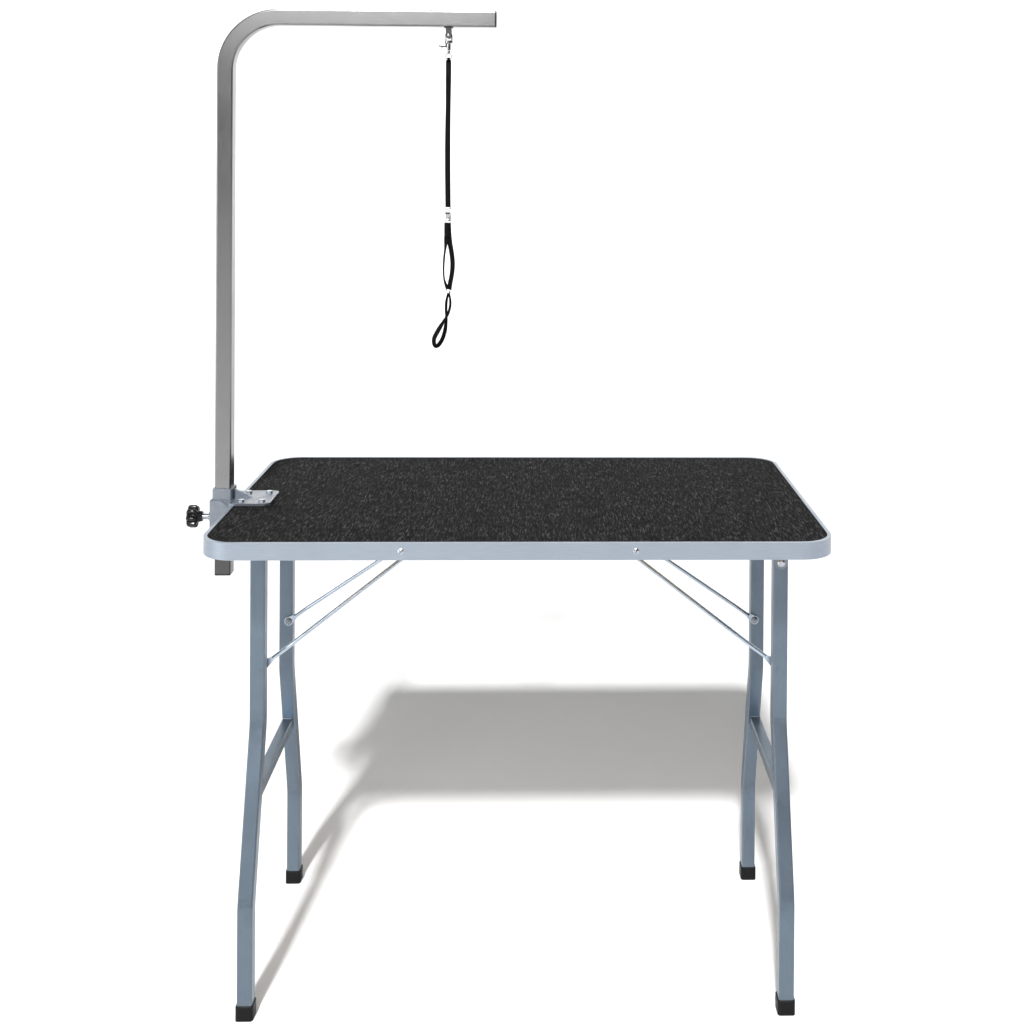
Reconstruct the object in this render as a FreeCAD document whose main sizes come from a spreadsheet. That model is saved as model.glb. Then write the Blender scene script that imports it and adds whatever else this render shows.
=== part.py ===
import FreeCAD, Part
import math
import os
import re

import Sketcher
from FreeCAD import Rotation, Vector

# Folding grooming table with a clamp-on arm and a noose.
#
# Millimetres, +Z up. The origin is on the floor, below the middle of the whole
# object, knob included, so the table top's own centre stands at table_x.
# The front is -Y, and the arm stands at the left end, -X.

SIZES = {
    # table top
    "table_x": 41.2, "top_length": 1000.0, "top_width": 600.0, "top_height": 800.0, "top_corner": 55.0,
    "rim_height": 27.0, "rim_wall": 2.0, "rim_lip": 6.0, "rim_foot": 15.0, "rim_sheet": 1.5, "mat_thick": 4.0,
    "mat_field": 1.0, "mat_inset": 1.0, "board_thick": 20.0, "rim_screw_x": 183.0, "rim_screw_y": 190.0,
    "screw_head": 5.0, "screw_dome": 1.6, "screw_shank": 2.2, "screw_reach": 12.0,
    # leg frames
    "leg_x": 441.0, "leg_y": 120.0, "foot_y": 202.0, "splay_top": 445.0, "splay_foot": 180.0,
    "splay_bend": 70.0, "tube_side": 25.0, "tube_wall": 1.2, "tube_corner": 3.0, "tube_above": 9.0,
    "cross_side": 20.0, "cross_top": 340.0, "cross_corner": 2.0, "cap_side": 29.0, "cap_height": 24.0,
    "cap_sole": 4.0, "cap_corner": 5.0, "cap_edge": 1.5,
    # hinges
    "pivot_left": 745.0, "pivot_right": 717.0, "pin_radius": 4.0, "pin_gap": 0.05, "pin_head": 6.5,
    "pin_head_thick": 2.0, "pin_tip": 3.9, "cheek_thick": 2.5, "cheek_width": 21.0, "cheek_gap": 0.5,
    "base_reach": 26.0, "base_thick": 2.5, "base_corner": 3.0,
    # stays
    "stay_z": 537.0, "stay_offset": 6.0, "stay_radius": 3.5, "stay_run": 309.0, "stay_rise": 223.0,
    "stay_sweep": 27.0, "stay_bend": 5.4, "stay_start": 14.0, "stay_straight": 44.0, "stay_pin": 11.0,
    "eye_thick": 3.5, "eye_radius": 8.0, "eye_length": 18.0, "eye_gap": 0.3, "stay_y_left": 30.0,
    "stay_y_right": 52.0, "bolt_head": 7.0, "bolt_thick": 4.0, "bolt_end": 2.0, "catch_thick": 3.0,
    "catch_front": 12.0, "catch_back": 13.0, "catch_below": 9.0, "catch_shoulder": 3.6, "catch_heel": 6.5,
    "catch_toe": 7.2, "catch_screw_in": 9.0, "catch_screw_head": 4.0, "catch_screw_dome": 1.4, "catch_gap": 2.0,
    "catch_flange": 15.0, "notch_half": 3.9, "notch_run": 18.6, "notch_drop": 7.3, "notch_side": 1.42,
    "notch_lift": 3.63,
    # arm
    "arm_x": 520.5, "arm_y": 34.0, "arm_side": 28.0, "arm_wall": 1.5, "arm_corner": 3.0, "arm_bend": 92.0,
    "arm_foot": 673.0, "arm_top": 1657.0, "beam_end": 53.0, "plug_thick": 3.0, "plug_reach": 14.0,
    "plug_corner": 0.5, "plug_edge": 1.0,
    # arm clamp
    "sleeve_gap": 0.3, "sleeve_left": 21.5, "sleeve_right": 17.5, "sleeve_half": 21.0, "sleeve_foot": 748.0,
    "clamp_corner": 4.0, "clamp_edge": 2.0, "collar_wall": 3.2, "collar_top": 822.0, "plate_top": 804.0,
    "plate_end": 70.0, "plate_half": 46.0, "plate_corner": 8.0, "rib_thick": 6.0, "rib_reach": 30.0,
    "rib_rise": 15.0, "rib_root": 4.0, "rib_sink": 1.0, "plate_bolt_near": 18.0, "plate_bolt_far": 54.0,
    "plate_bolt_half": 30.0, "plate_bolt_head": 6.0, "plate_bolt_thick": 3.5, "plate_bolt_reach": 24.0,
    "plate_bolt_gap": 0.1, "knob_z": 770.0, "knob_radius": 20.0, "knob_thick": 18.0, "knob_hub": 11.0,
    "knob_hub_long": 8.0, "knob_left": 584.0, "knob_dent": 5.5, "knob_dent_out": 2.475, "knob_bore_deep": 6.0,
    "knob_edge": 2.5, "screw_radius": 5.0, "screw_gap": 0.06, "screw_edge": 0.8, "pad_radius": 4.6,
    "pad_thick": 2.0, "pad_gap": 0.2,
    # noose
    "noose_x": 134.0, "eye_wire": 1.6, "eye_hoop": 5.4, "eye_drop": 9.0, "eye_corner": 2.6, "eye_plate": 1.4,
    "eye_stem": 2.0, "eye_head": 4.0, "eye_head_thick": 1.0, "hook_wire": 2.0, "hook_half": 5.0,
    "hook_top": 1620.5, "hook_gate": 9.5, "hook_shoulder": 15.0, "hook_shoulder_long": 4.0, "hook_edge": 1.0,
    "hook_bend": 4.6, "hook_flange": 7.8, "hook_body": 4.0, "hook_long": 32.0, "latch_radius": 1.4,
    "latch_long": 17.0, "latch_gap": 0.1, "latch_inset": 0.3, "stud_reach": 7.0, "swivel_radius": 3.4,
    "swivel_ring": 6.0, "swivel_wire": 1.6, "swivel_gap": 0.2, "swivel_crown": 0.8, "swivel_shoulder": 3.0,
    "swivel_neck": 1.8, "swivel_taper": 4.0, "swivel_foot": 6.0, "swivel_hang": 4.5, "strap_width": 10.0,
    "strap_thick": 1.8, "strap_corner": 0.6, "tape_width": 8.0, "strap_top": 1571.6, "slider_top": 1314.0,
    "slider_height": 28.0, "slider_width": 15.0, "slider_depth": 7.5, "slider_wall": 1.2, "slider_corner": 2.4,
    "loop_gap": 2.0, "loop_foot": 1165.0, "loop_half": 9.0, "loop_corner": 8.0, "twist_top": 1163.6,
    "twist_foot": 1118.0, "end_loop_shift": 7.0, "end_loop_top": 1116.4, "end_loop_foot": 1068.0,
    "end_loop_half": 7.8, "end_loop_corner": 6.8,
}

DOC = FreeCAD.newDocument("grooming_table")
SHEET = DOC.addObject("Spreadsheet::Sheet", "sizes")
for line, (alias, number) in enumerate(SIZES.items(), 1):
    SHEET.set(f"A{line}", alias)
    SHEET.set(f"B{line}", str(number))
    SHEET.setAlias(f"B{line}", alias)
DOC.recompute()

# a hexagon head's crown: how far the cone starts outside the head, and its top, as shares
CROWN_SPREAD = 0.6
CROWN_TOP = 0.86

SIDES = {"left": -1, "right": 1}
ROWS = {"front": -1, "rear": 1}
PARTS = []


def bound(text):
    """The expression with each size's name replaced by its cell."""
    return re.sub(r"[a-z][a-z_]*", lambda word: f"sizes.{word[0]}" if word[0] in SIZES else word[0], str(text))


def value(text):
    """The number that an expression of sizes has now."""
    return float(SHEET.evalExpression(bound(text)))


# ---------------------------------------------------------------- sketches


def sketch(body, role, name, offset="0"):
    """A sketch on one of the body's own origin planes, moved along the plane's normal."""
    made = body.newObject("Sketcher::SketchObject", name)
    plane = next(item for item in body.Origin.OriginFeatures if item.Role == role)
    made.AttachmentSupport = [(plane, "")]
    made.MapMode = "FlatFace"
    made.setExpression("AttachmentOffset.Base.z", bound(offset))
    return made


def bind(made, kind, items, expression):
    """Add a dimension to a sketch and tie it to an expression."""
    index = made.addConstraint(Sketcher.Constraint(kind, *items, value(expression)))
    made.setExpression(f"Constraints[{index}]", bound(expression))


def polygon(made, corners, construction=False, closed=True):
    """Straight lines through corners, each corner held by its two expressions."""
    first = made.GeometryCount
    spots = [Vector(value(x), value(y), 0) for x, y in corners]
    count = len(spots) if closed else len(spots) - 1
    for index in range(count):
        made.addGeometry(Part.LineSegment(spots[index], spots[(index + 1) % len(spots)]), construction)
    for index in range(count if closed else count - 1):
        made.addConstraint(Sketcher.Constraint("Coincident", first + index, 2, first + (index + 1) % count, 1))
    for index, (x, y) in enumerate(corners):
        line, end = (first + index, 1) if index < count else (first + index - 1, 2)
        bind(made, "DistanceX", (-1, 1, line, end), x)
        bind(made, "DistanceY", (-1, 1, line, end), y)
    return first


def circle(made, radius, x="0", y="0"):
    """A circle held by its centre and radius."""
    first = made.addGeometry(Part.Circle(Vector(value(x), value(y), 0), Vector(0, 0, 1), value(radius)), False)
    bind(made, "Radius", (first,), radius)
    bind(made, "DistanceX", (-1, 1, first, 3), x)
    bind(made, "DistanceY", (-1, 1, first, 3), y)


def rounded(made, width, depth, radius):
    """A rectangle with round corners, centred on the sketch's origin."""
    first = made.GeometryCount
    right, top, corner = value(width) / 2, value(depth) / 2, value(radius)
    centres = [(right - corner, corner - top), (right - corner, top - corner),
               (corner - right, top - corner), (corner - right, corner - top)]
    quarter = math.pi / 2
    for index, (x, y) in enumerate(centres):
        start = Vector(*[(corner - right, -top), (right, corner - top), (right - corner, top),
                         (-right, top - corner)][index], 0)
        turn = (index - 1) * quarter
        arc = Part.Circle(Vector(x, y, 0), Vector(0, 0, 1), corner)
        end = Vector(x + corner * math.cos(turn), y + corner * math.sin(turn), 0)
        made.addGeometry(Part.LineSegment(start, end), False)
        made.addGeometry(Part.ArcOfCircle(arc, turn, turn + quarter), False)
    for index in range(8):
        made.addConstraint(Sketcher.Constraint("Tangent", first + index, 2, first + (index + 1) % 8, 1))
    for index, kind in enumerate(("Horizontal", "Vertical", "Horizontal", "Vertical")):
        made.addConstraint(Sketcher.Constraint(kind, first + 2 * index))
    for index in (1, 3, 5):
        made.addConstraint(Sketcher.Constraint("Equal", first + index, first + index + 2))
    made.addConstraint(Sketcher.Constraint("Symmetric", first + 1, 3, first + 5, 3, -1, 1))
    bind(made, "Radius", (first + 1,), radius)
    bind(made, "DistanceX", (first + 7, 3, first + 1, 3), f"{width} - 2 * {radius}")
    bind(made, "DistanceY", (first + 1, 3, first + 3, 3), f"{depth} - 2 * {radius}")


def bent_path(made, corners, radii):
    """A line through corners with a tangent arc at each inner corner."""
    guide = polygon(made, corners, construction=True, closed=False)
    spots = [Vector(value(x), value(y), 0) for x, y in corners]
    first, start = made.GeometryCount, spots[0]
    for spot, before, after, radius in zip(spots[1:], spots, spots[2:], radii):
        back, ahead = (before - spot).normalize(), (after - spot).normalize()
        half = (math.pi - back.getAngle(ahead)) / 2
        reach, bulge = value(radius) * math.tan(half), value(radius) * (1 / math.cos(half) - 1)
        enter, leave = spot + back * reach, spot + ahead * reach
        made.addGeometry(Part.LineSegment(start, enter), False)
        made.addGeometry(Part.Arc(enter, spot + (back + ahead).normalize() * bulge, leave), False)
        start = leave
    made.addGeometry(Part.LineSegment(start, spots[-1]), False)
    last = made.GeometryCount - 1
    for index in range(first, last):
        arc = index if (index - first) % 2 else index + 1
        arc_end = end_near(made, arc, made.getPoint(index, 2) if index != arc else made.getPoint(index + 1, 1))
        pair = (index, 2, arc, arc_end) if index != arc else (arc, arc_end, index + 1, 1)
        made.addConstraint(Sketcher.Constraint("Tangent", *pair))
    made.addConstraint(Sketcher.Constraint("Coincident", first, 1, guide, 1))
    made.addConstraint(Sketcher.Constraint("Parallel", first, guide))
    for index in range(1, len(radii)):
        for end in (1, 2):
            made.addConstraint(Sketcher.Constraint("PointOnObject", first + 2 * index, end, guide + index))
    made.addConstraint(Sketcher.Constraint("Coincident", last, 2, guide + len(radii), 2))
    made.addConstraint(Sketcher.Constraint("Parallel", last, guide + len(radii)))
    for index, radius in enumerate(radii):
        bind(made, "Radius", (first + 2 * index + 1,), radius)
    return [f"Edge{index + 1}" for index in range(last - first + 1)]


def end_near(made, arc, point):
    """Which end of an arc, 1 or 2, lies at a point."""
    return 1 if (made.getPoint(arc, 1) - point).Length < (made.getPoint(arc, 2) - point).Length else 2


# ---------------------------------------------------------------- features


def new_body(name, x="0", y="0", z="0", turn=None):
    """A body whose place is tied to the sheet, turned about its own origin if asked."""
    body = DOC.addObject("PartDesign::Body", name)
    body.Label = name
    if turn is not None:
        body.Placement = FreeCAD.Placement(Vector(), turn)
    for axis, text in zip("xyz", (x, y, z)):
        body.setExpression(f"Placement.Base.{axis}", bound(text))
    PARTS.append(body)
    return body


def extrude(body, made, length=None, cut=False, middle=False, back=False):
    """Pad a sketch, or pocket it; with no length a pocket goes through all."""
    kind = "PartDesign::Pocket" if cut else "PartDesign::Pad"
    feature = body.newObject(kind, f"{made.Name}_{'cut' if cut else 'pad'}")
    feature.Profile = made
    if length is None:
        feature.Type = "ThroughAll"
    else:
        feature.setExpression("Length", bound(length))
    feature.SideType = "Symmetric" if middle else "One side"
    feature.Reversed = back
    made.Visibility = False
    body.Tip = feature
    return feature


def cut_down(body, made, length=None, middle=False, back=False):
    """A pocket that has to take material away."""
    DOC.recompute()
    before = body.Shape.Volume
    feature = extrude(body, made, length, True, middle, back)
    DOC.recompute()
    if not body.Shape.Volume < before - 0.01:
        raise RuntimeError(f"{made.Name} cuts nothing from {body.Label}")
    return feature


def revolve(body, made, axis="V_Axis"):
    """Turn a sketch a full turn about one of its own axes."""
    feature = body.newObject("PartDesign::Revolution", f"{made.Name}_turned")
    feature.Profile = made
    feature.ReferenceAxis = (made, [axis])
    feature.Angle = 360
    body.Tip = feature
    return feature


def pipe(body, profile, path, edges):
    """Sweep a closed profile along a path sketch."""
    feature = body.newObject("PartDesign::AdditivePipe", f"{profile.Name}_pipe")
    feature.Profile = profile
    feature.Spine = (path, edges)
    body.Tip = feature
    return feature


def chamfer_top(body, height, size):
    """Chamfer every edge that lies at one height in the body's own frame."""
    DOC.recompute()
    level = value(height)
    names = [f"Edge{index}" for index, edge in enumerate(body.Tip.Shape.Edges, 1)
             if abs(edge.BoundBox.ZMin - level) < 0.01 and abs(edge.BoundBox.ZMax - level) < 0.01]
    base = body.Tip
    feature = body.newObject("PartDesign::Chamfer", f"{body.Name}_edge")
    feature.Base = (base, names)
    feature.setExpression("Size", bound(size))
    body.Tip = feature
    return feature


def group(name, solids):
    """One sub-part made of several like solids that stand apart."""
    feature = DOC.addObject("Part::Feature", name)
    feature.Label = name
    feature.Shape = Part.makeCompound(solids)
    feature.Placement = FreeCAD.Placement()
    PARTS.append(feature)
    return feature


def dome_screw(foot, direction, head, dome, shank, reach):
    """A round-headed screw; foot is the middle of the seat under its head."""
    sphere_radius = (head * head + dome * dome) / (2 * dome)
    ball = Part.makeSphere(sphere_radius, foot + direction * (dome - sphere_radius))
    cap = ball.common(Part.makeCylinder(head, dome * 1.5, foot, direction))
    return cap.fuse(Part.makeCylinder(shank, reach, foot - direction * reach, direction)).removeSplitter()


def hex_bolt(foot, direction, head, thick, shank, reach):
    """A hexagon-headed bolt with a chamfered head; foot is the seat under its head."""
    corners = [Vector(head * math.cos(math.radians(60 * side)), head * math.sin(math.radians(60 * side)), 0)
               for side in range(7)]
    prism = Part.Face(Part.makePolygon(corners)).extrude(Vector(0, 0, thick))
    crown = Part.makeCone(head + thick * CROWN_SPREAD, head * CROWN_TOP, thick, Vector(), Vector(0, 0, 1))
    bolt = prism.common(crown).fuse(Part.makeCylinder(shank, reach, Vector(0, 0, -reach))).removeSplitter()
    bolt.Placement = FreeCAD.Placement(foot, Rotation(Vector(0, 0, 1), direction))
    return bolt


# ---------------------------------------------------------------- table top


def make_rim():
    """The aluminium edging: a C channel that holds the board and the mat."""
    body = new_body("edge_rim", "table_x", z="top_height - rim_height")
    outline = sketch(body, "XY_Plane", "rim_outline")
    rounded(outline, "top_length", "top_width", "top_corner")
    extrude(body, outline, "rim_height")
    foot = sketch(body, "XY_Plane", "rim_foot_opening")
    rounded(foot, "(top_length - 2 * rim_foot)", "(top_width - 2 * rim_foot)", "(top_corner - rim_foot)")
    cut_down(body, foot, "rim_sheet", back=True)
    inner = sketch(body, "XY_Plane", "rim_channel", "rim_sheet")
    rounded(inner, "(top_length - 2 * rim_wall)", "(top_width - 2 * rim_wall)", "(top_corner - rim_wall)")
    cut_down(body, inner, "rim_height - 2 * rim_sheet", back=True)
    lip = sketch(body, "XY_Plane", "rim_lip_opening", "rim_height - rim_sheet")
    rounded(lip, "(top_length - 2 * rim_lip)", "(top_width - 2 * rim_lip)", "(top_corner - rim_lip)")
    cut_down(body, lip, "rim_sheet", back=True)


def make_board():
    """The plywood board inside the rim."""
    body = new_body("top_board", "table_x", z="top_height - rim_height + rim_sheet")
    outline = sketch(body, "XY_Plane", "board_outline")
    rounded(outline, "(top_length - 2 * rim_wall)", "(top_width - 2 * rim_wall)", "(top_corner - rim_wall)")
    extrude(body, outline, "board_thick")


def make_mat():
    """The rubber mat, whose field stands slightly above the edge that the rim holds down."""
    body = new_body("rubber_mat", "table_x", z="top_height - rim_sheet - mat_thick")
    outline = sketch(body, "XY_Plane", "mat_outline")
    rounded(outline, "(top_length - 2 * rim_wall)", "(top_width - 2 * rim_wall)", "(top_corner - rim_wall)")
    extrude(body, outline, "mat_thick")
    raised = sketch(body, "XY_Plane", "mat_field", "mat_thick")
    rounded(raised, "(top_length - 2 * rim_lip - 2 * mat_inset)", "(top_width - 2 * rim_lip - 2 * mat_inset)",
            "(top_corner - rim_lip - mat_inset)")
    extrude(body, raised, "mat_field")


def make_rim_screws():
    """Round-headed screws through the rim into the board's edge, front and rear."""
    level = value("top_height - rim_height / 2")
    shape = [value(name) for name in ("screw_head", "screw_dome", "screw_shank", "screw_reach")]
    solids = []
    for side in (-1, 1):
        for row in (-1, 1):
            foot = Vector(value("table_x") + side * value("rim_screw_x"), row * value("top_width") / 2, level)
            solids.append(dome_screw(foot, Vector(0, row, 0), *shape))
            foot = Vector(value("table_x") + side * value("top_length") / 2, row * value("rim_screw_y"), level)
            solids.append(dome_screw(foot, Vector(side, 0, 0), *shape))
    group("rim_screws", solids)


# ---------------------------------------------------------------- hinges


def make_hinge_bracket(side, row):
    """A folded steel U under the board: a base with two round-ended cheeks and a pin hole."""
    sign, pivot = SIDES[side], f"pivot_{side}"
    body = new_body(f"hinge_bracket_{side}_{row}", f"table_x + {sign} * leg_x", f"{ROWS[row]} * leg_y", pivot)
    top = f"(top_height - rim_height + rim_sheet - {pivot})"
    outer = "(tube_side + 2 * cheek_gap + 2 * cheek_thick)"
    base = sketch(body, "XY_Plane", f"base_{side}_{row}", f"{top} - base_thick")
    rounded(base, "cheek_width", f"({outer} + 2 * base_reach)", "base_corner")
    extrude(body, base, "base_thick")
    cheek = sketch(body, "XZ_Plane", f"cheek_{side}_{row}")
    first = polygon(cheek, [("-cheek_width / 2", "0"), ("-cheek_width / 2", f"{top} - base_thick / 2"),
                            ("cheek_width / 2", f"{top} - base_thick / 2"), ("cheek_width / 2", "0")], closed=False)
    half = value("cheek_width / 2")
    arc = cheek.addGeometry(Part.ArcOfCircle(Part.Circle(Vector(), Vector(0, 0, 1), half), math.pi, 2 * math.pi))
    cheek.addConstraint(Sketcher.Constraint("Coincident", arc, 1, first, 1))
    cheek.addConstraint(Sketcher.Constraint("Coincident", arc, 2, first + 2, 2))
    bind(cheek, "DistanceY", (-1, 1, arc, 3), "0")
    extrude(body, cheek, outer, middle=True)
    slot = sketch(body, "YZ_Plane", f"slot_{side}_{row}")
    inside = "(tube_side / 2 + cheek_gap)"
    polygon(slot, [(f"-{inside}", "-cheek_width"), (inside, "-cheek_width"),
                   (inside, f"{top} - base_thick"), (f"-{inside}", f"{top} - base_thick")])
    cut_down(body, slot, middle=True)
    hole = sketch(body, "XZ_Plane", f"pin_hole_{side}_{row}")
    circle(hole, "pin_radius")
    cut_down(body, hole, middle=True)


def make_hinge_pins():
    """Riveted pins across each bracket, on which the leg tubes turn."""
    half = value("tube_side / 2 + cheek_gap + cheek_thick")
    head, thick, radius = value("pin_head"), value("pin_head_thick"), value("pin_radius")
    solids = []
    for side, sign in SIDES.items():
        for row in ROWS.values():
            middle = Vector(value("table_x") + sign * value("leg_x"), row * value("leg_y"), value(f"pivot_{side}"))
            pin = Part.makeCylinder(radius, 2 * half, middle - Vector(0, half, 0), Vector(0, 1, 0))
            for end in (-1, 1):
                seat = middle + Vector(0, end * half, 0)
                pin = pin.fuse(Part.makeCone(head, value("pin_tip"), thick, seat, Vector(0, end, 0)))
            solids.append(pin.removeSplitter())
    group("hinge_pins", solids)


def make_bracket_screws():
    """Two screws through each end of each hinge bracket's base into the board."""
    reach = value("tube_side / 2 + cheek_gap + cheek_thick + base_reach / 2")
    seat = value("top_height - rim_height + rim_sheet - base_thick")
    solids = []
    for sign in SIDES.values():
        for row in ROWS.values():
            for end in (-1, 1):
                foot = Vector(value("table_x") + sign * value("leg_x"), row * value("leg_y") + end * reach, seat)
                solids.append(dome_screw(foot, Vector(0, 0, -1), value("screw_head"), value("screw_dome"),
                                         value("screw_shank"), value("screw_reach")))
    group("bracket_screws", solids)


# ---------------------------------------------------------------- leg frames


def make_leg(side, row):
    """A square tube that stands upright, splays outward and stands upright again at the foot."""
    sign, outward = SIDES[side], ROWS[row]
    body = new_body(f"leg_{side}_{row}", f"table_x + {sign} * leg_x", f"{outward} * leg_y",
                    f"pivot_{side} + tube_above")
    section = sketch(body, "XY_Plane", f"section_{side}_{row}")
    rounded(section, "tube_side", "tube_side", "tube_corner")
    rounded(section, "(tube_side - 2 * tube_wall)", "(tube_side - 2 * tube_wall)", "(tube_corner - tube_wall)")
    path = sketch(body, "YZ_Plane", f"path_{side}_{row}")
    splay, top = f"{outward} * (foot_y - leg_y)", f"(pivot_{side} + tube_above)"
    edges = bent_path(path, [("0", "0"), ("0", f"splay_top - {top}"), (splay, f"splay_foot - {top}"),
                             (splay, f"cap_sole - {top}")], ["splay_bend", "splay_bend"])
    pipe(body, section, path, edges)
    for name, radius, height, inset in (("pin", "pin_radius + pin_gap", f"pivot_{side}", "0"),
                                        ("stay", "pin_radius", "stay_z", f"{-sign} * stay_offset")):
        hole = sketch(body, "XZ_Plane", f"{name}_hole_{side}_{row}")
        circle(hole, radius, inset, f"{height} - {top}")
        cut_down(body, hole, "2 * tube_side", middle=True)


def make_cross_tube(side):
    """The tube between a frame's two legs, its ends cut to the slope of the legs."""
    sign = SIDES[side]
    body = new_body(f"cross_tube_{side}", f"table_x + {sign} * (leg_x + tube_side / 2 - cross_side / 2)",
                    z="cross_top - cross_side / 2")
    section = sketch(body, "XZ_Plane", f"cross_section_{side}")
    rounded(section, "cross_side", "cross_side", "cross_corner")
    rounded(section, "(cross_side - 2 * tube_wall)", "(cross_side - 2 * tube_wall)", "(cross_corner - tube_wall)")
    extrude(body, section, "2 * foot_y", middle=True)
    slope = "((foot_y - leg_y) / (splay_top - splay_foot))"
    middle = f"(leg_y + {slope} * (splay_top - cross_top + cross_side / 2))"
    face = f"({middle} - tube_side / 2 * sqrt(1 + {slope} * {slope}))"
    for row, outward in ROWS.items():
        trim = sketch(body, "YZ_Plane", f"trim_{side}_{row}")
        polygon(trim, [(f"{outward} * ({face} - cross_side * {slope})", "cross_side"),
                       (f"{outward} * 2 * foot_y", "cross_side"), (f"{outward} * 2 * foot_y", "-cross_side"),
                       (f"{outward} * ({face} + cross_side * {slope})", "-cross_side")])
        cut_down(body, trim, "2 * cross_side", middle=True)


def make_foot_cap(side, row):
    """A rubber cap over the foot, with a sole below the tube."""
    body = new_body(f"foot_cap_{side}_{row}", f"table_x + {SIDES[side]} * leg_x", f"{ROWS[row]} * foot_y")
    outline = sketch(body, "XY_Plane", f"cap_outline_{side}_{row}")
    rounded(outline, "cap_side", "cap_side", "cap_corner")
    extrude(body, outline, "cap_height")
    chamfer_top(body, "cap_height", "cap_edge")
    socket = sketch(body, "XY_Plane", f"cap_socket_{side}_{row}", "cap_sole")
    rounded(socket, "tube_side", "tube_side", "tube_corner")
    cut_down(body, socket, "cap_height", back=True)


def make_stay_bolts(side):
    """The bolts on which a frame's stays turn, through the inner face of each leg."""
    sign = SIDES[side]
    solids = []
    for outward in ROWS.values():
        inner = outward * value("leg_y - tube_side / 2")
        seat = Vector(value(f"table_x + {sign} * (leg_x - stay_offset)"),
                      inner - outward * value("eye_thick + 2 * eye_gap"), value("stay_z"))
        solids.append(hex_bolt(seat, Vector(0, -outward, 0), value("bolt_head"), value("bolt_thick"),
                               value("pin_radius"), value("eye_thick + 2 * eye_gap + tube_side + bolt_end")))
    group(f"stay_bolts_{side}", solids)


# ---------------------------------------------------------------- stays


def make_stay(side, row):
    """A round rod with a flat bolted eye below and a hooked pin above."""
    sign, outward = SIDES[side], ROWS[row]
    rise = math.degrees(math.atan2(value("stay_rise"), value("stay_run")))
    turn = Rotation(Vector(0, 1, 0), -rise) if sign < 0 else Rotation(Vector(0, 1, 0), rise - 180)
    body = new_body(f"stay_{side}_{row}", f"table_x + {sign} * (leg_x - stay_offset)",
                    f"{outward} * (leg_y - tube_side / 2 - eye_gap - eye_thick / 2)", "stay_z", turn)
    eye = sketch(body, "XZ_Plane", f"eye_{side}_{row}")
    radius = value("eye_radius")
    first = polygon(eye, [("0", "eye_radius"), ("eye_length", "stay_radius"), ("eye_length", "-stay_radius"),
                          ("0", "-eye_radius")], closed=False)
    arc = eye.addGeometry(Part.ArcOfCircle(Part.Circle(Vector(), Vector(0, 0, 1), radius),
                                           math.pi / 2, 3 * math.pi / 2))
    eye.addConstraint(Sketcher.Constraint("Coincident", arc, 1, first, 1))
    eye.addConstraint(Sketcher.Constraint("Coincident", arc, 2, first + 2, 2))
    bind(eye, "DistanceX", (-1, 1, arc, 3), "0")
    extrude(body, eye, "eye_thick", middle=True)
    section = sketch(body, "YZ_Plane", f"rod_{side}_{row}", "stay_start")
    flush = f"{-outward} * (stay_radius - eye_thick / 2)"
    circle(section, "stay_radius", flush, "0")
    length = "sqrt(stay_run * stay_run + stay_rise * stay_rise)"
    inward = f"{-outward} * (leg_y - tube_side / 2 - eye_gap - eye_thick / 2 - stay_y_{side})"
    hook = f"({inward} - {outward} * stay_pin)" if side == "left" else f"({inward} + {outward} * stay_pin)"
    path = sketch(body, "XY_Plane", f"route_{side}_{row}")
    edges = bent_path(path, [("stay_start", flush), ("stay_straight", flush), (length, inward), (length, hook)],
                      ["stay_sweep", "stay_bend"])
    pipe(body, section, path, edges)
    hole = sketch(body, "XZ_Plane", f"eye_hole_{side}_{row}")
    circle(hole, "pin_radius + pin_gap")
    cut_down(body, hole, "2 * eye_thick", middle=True)


def make_catch(side, row):
    """A steel angle under the board whose open notch takes the hooked end of a stay."""
    sign, outward = SIDES[side], ROWS[row]
    toward = -outward if side == "left" else outward
    top = "(top_height - rim_height + rim_sheet - stay_z - stay_rise)"
    body = new_body(f"stay_catch_{side}_{row}", f"table_x + {sign} * (leg_x - stay_offset - stay_run)",
                    f"{outward} * stay_y_{side} + {toward} * (stay_radius + catch_gap + catch_thick / 2)",
                    "stay_z + stay_rise")
    plate = sketch(body, "XZ_Plane", f"catch_plate_{side}_{row}")
    front, rear = f"{-sign} * catch_front", f"{sign} * catch_back"
    polygon(plate, [(rear, top), (rear, "-catch_shoulder"), (f"{sign} * catch_heel", "-catch_below"),
                    (f"{-sign} * catch_toe", "-catch_below"), (front, "-catch_shoulder"), (front, top)])
    extrude(body, plate, "catch_thick", middle=True)
    notch = sketch(body, "XZ_Plane", f"catch_notch_{side}_{row}")
    polygon(notch, [(f"{-sign} * notch_side", "notch_lift"),
                    (f"{-sign} * (notch_run + notch_side)", "notch_lift - notch_drop"),
                    (f"{-sign} * (notch_run - notch_side)", "-notch_lift - notch_drop"),
                    (f"{sign} * notch_side", "-notch_lift")])
    cut_down(body, notch, "2 * catch_thick", middle=True)
    seat = sketch(body, "XZ_Plane", f"catch_seat_{side}_{row}")
    circle(seat, "notch_half")
    cut_down(body, seat, "2 * catch_thick", middle=True)
    flange = sketch(body, "XY_Plane", f"catch_flange_{side}_{row}", f"{top} - catch_thick")
    polygon(flange, [(rear, "0"), (rear, f"{toward} * catch_flange"), (front, f"{toward} * catch_flange"),
                     (front, "0")])
    extrude(body, flange, "catch_thick")


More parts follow.
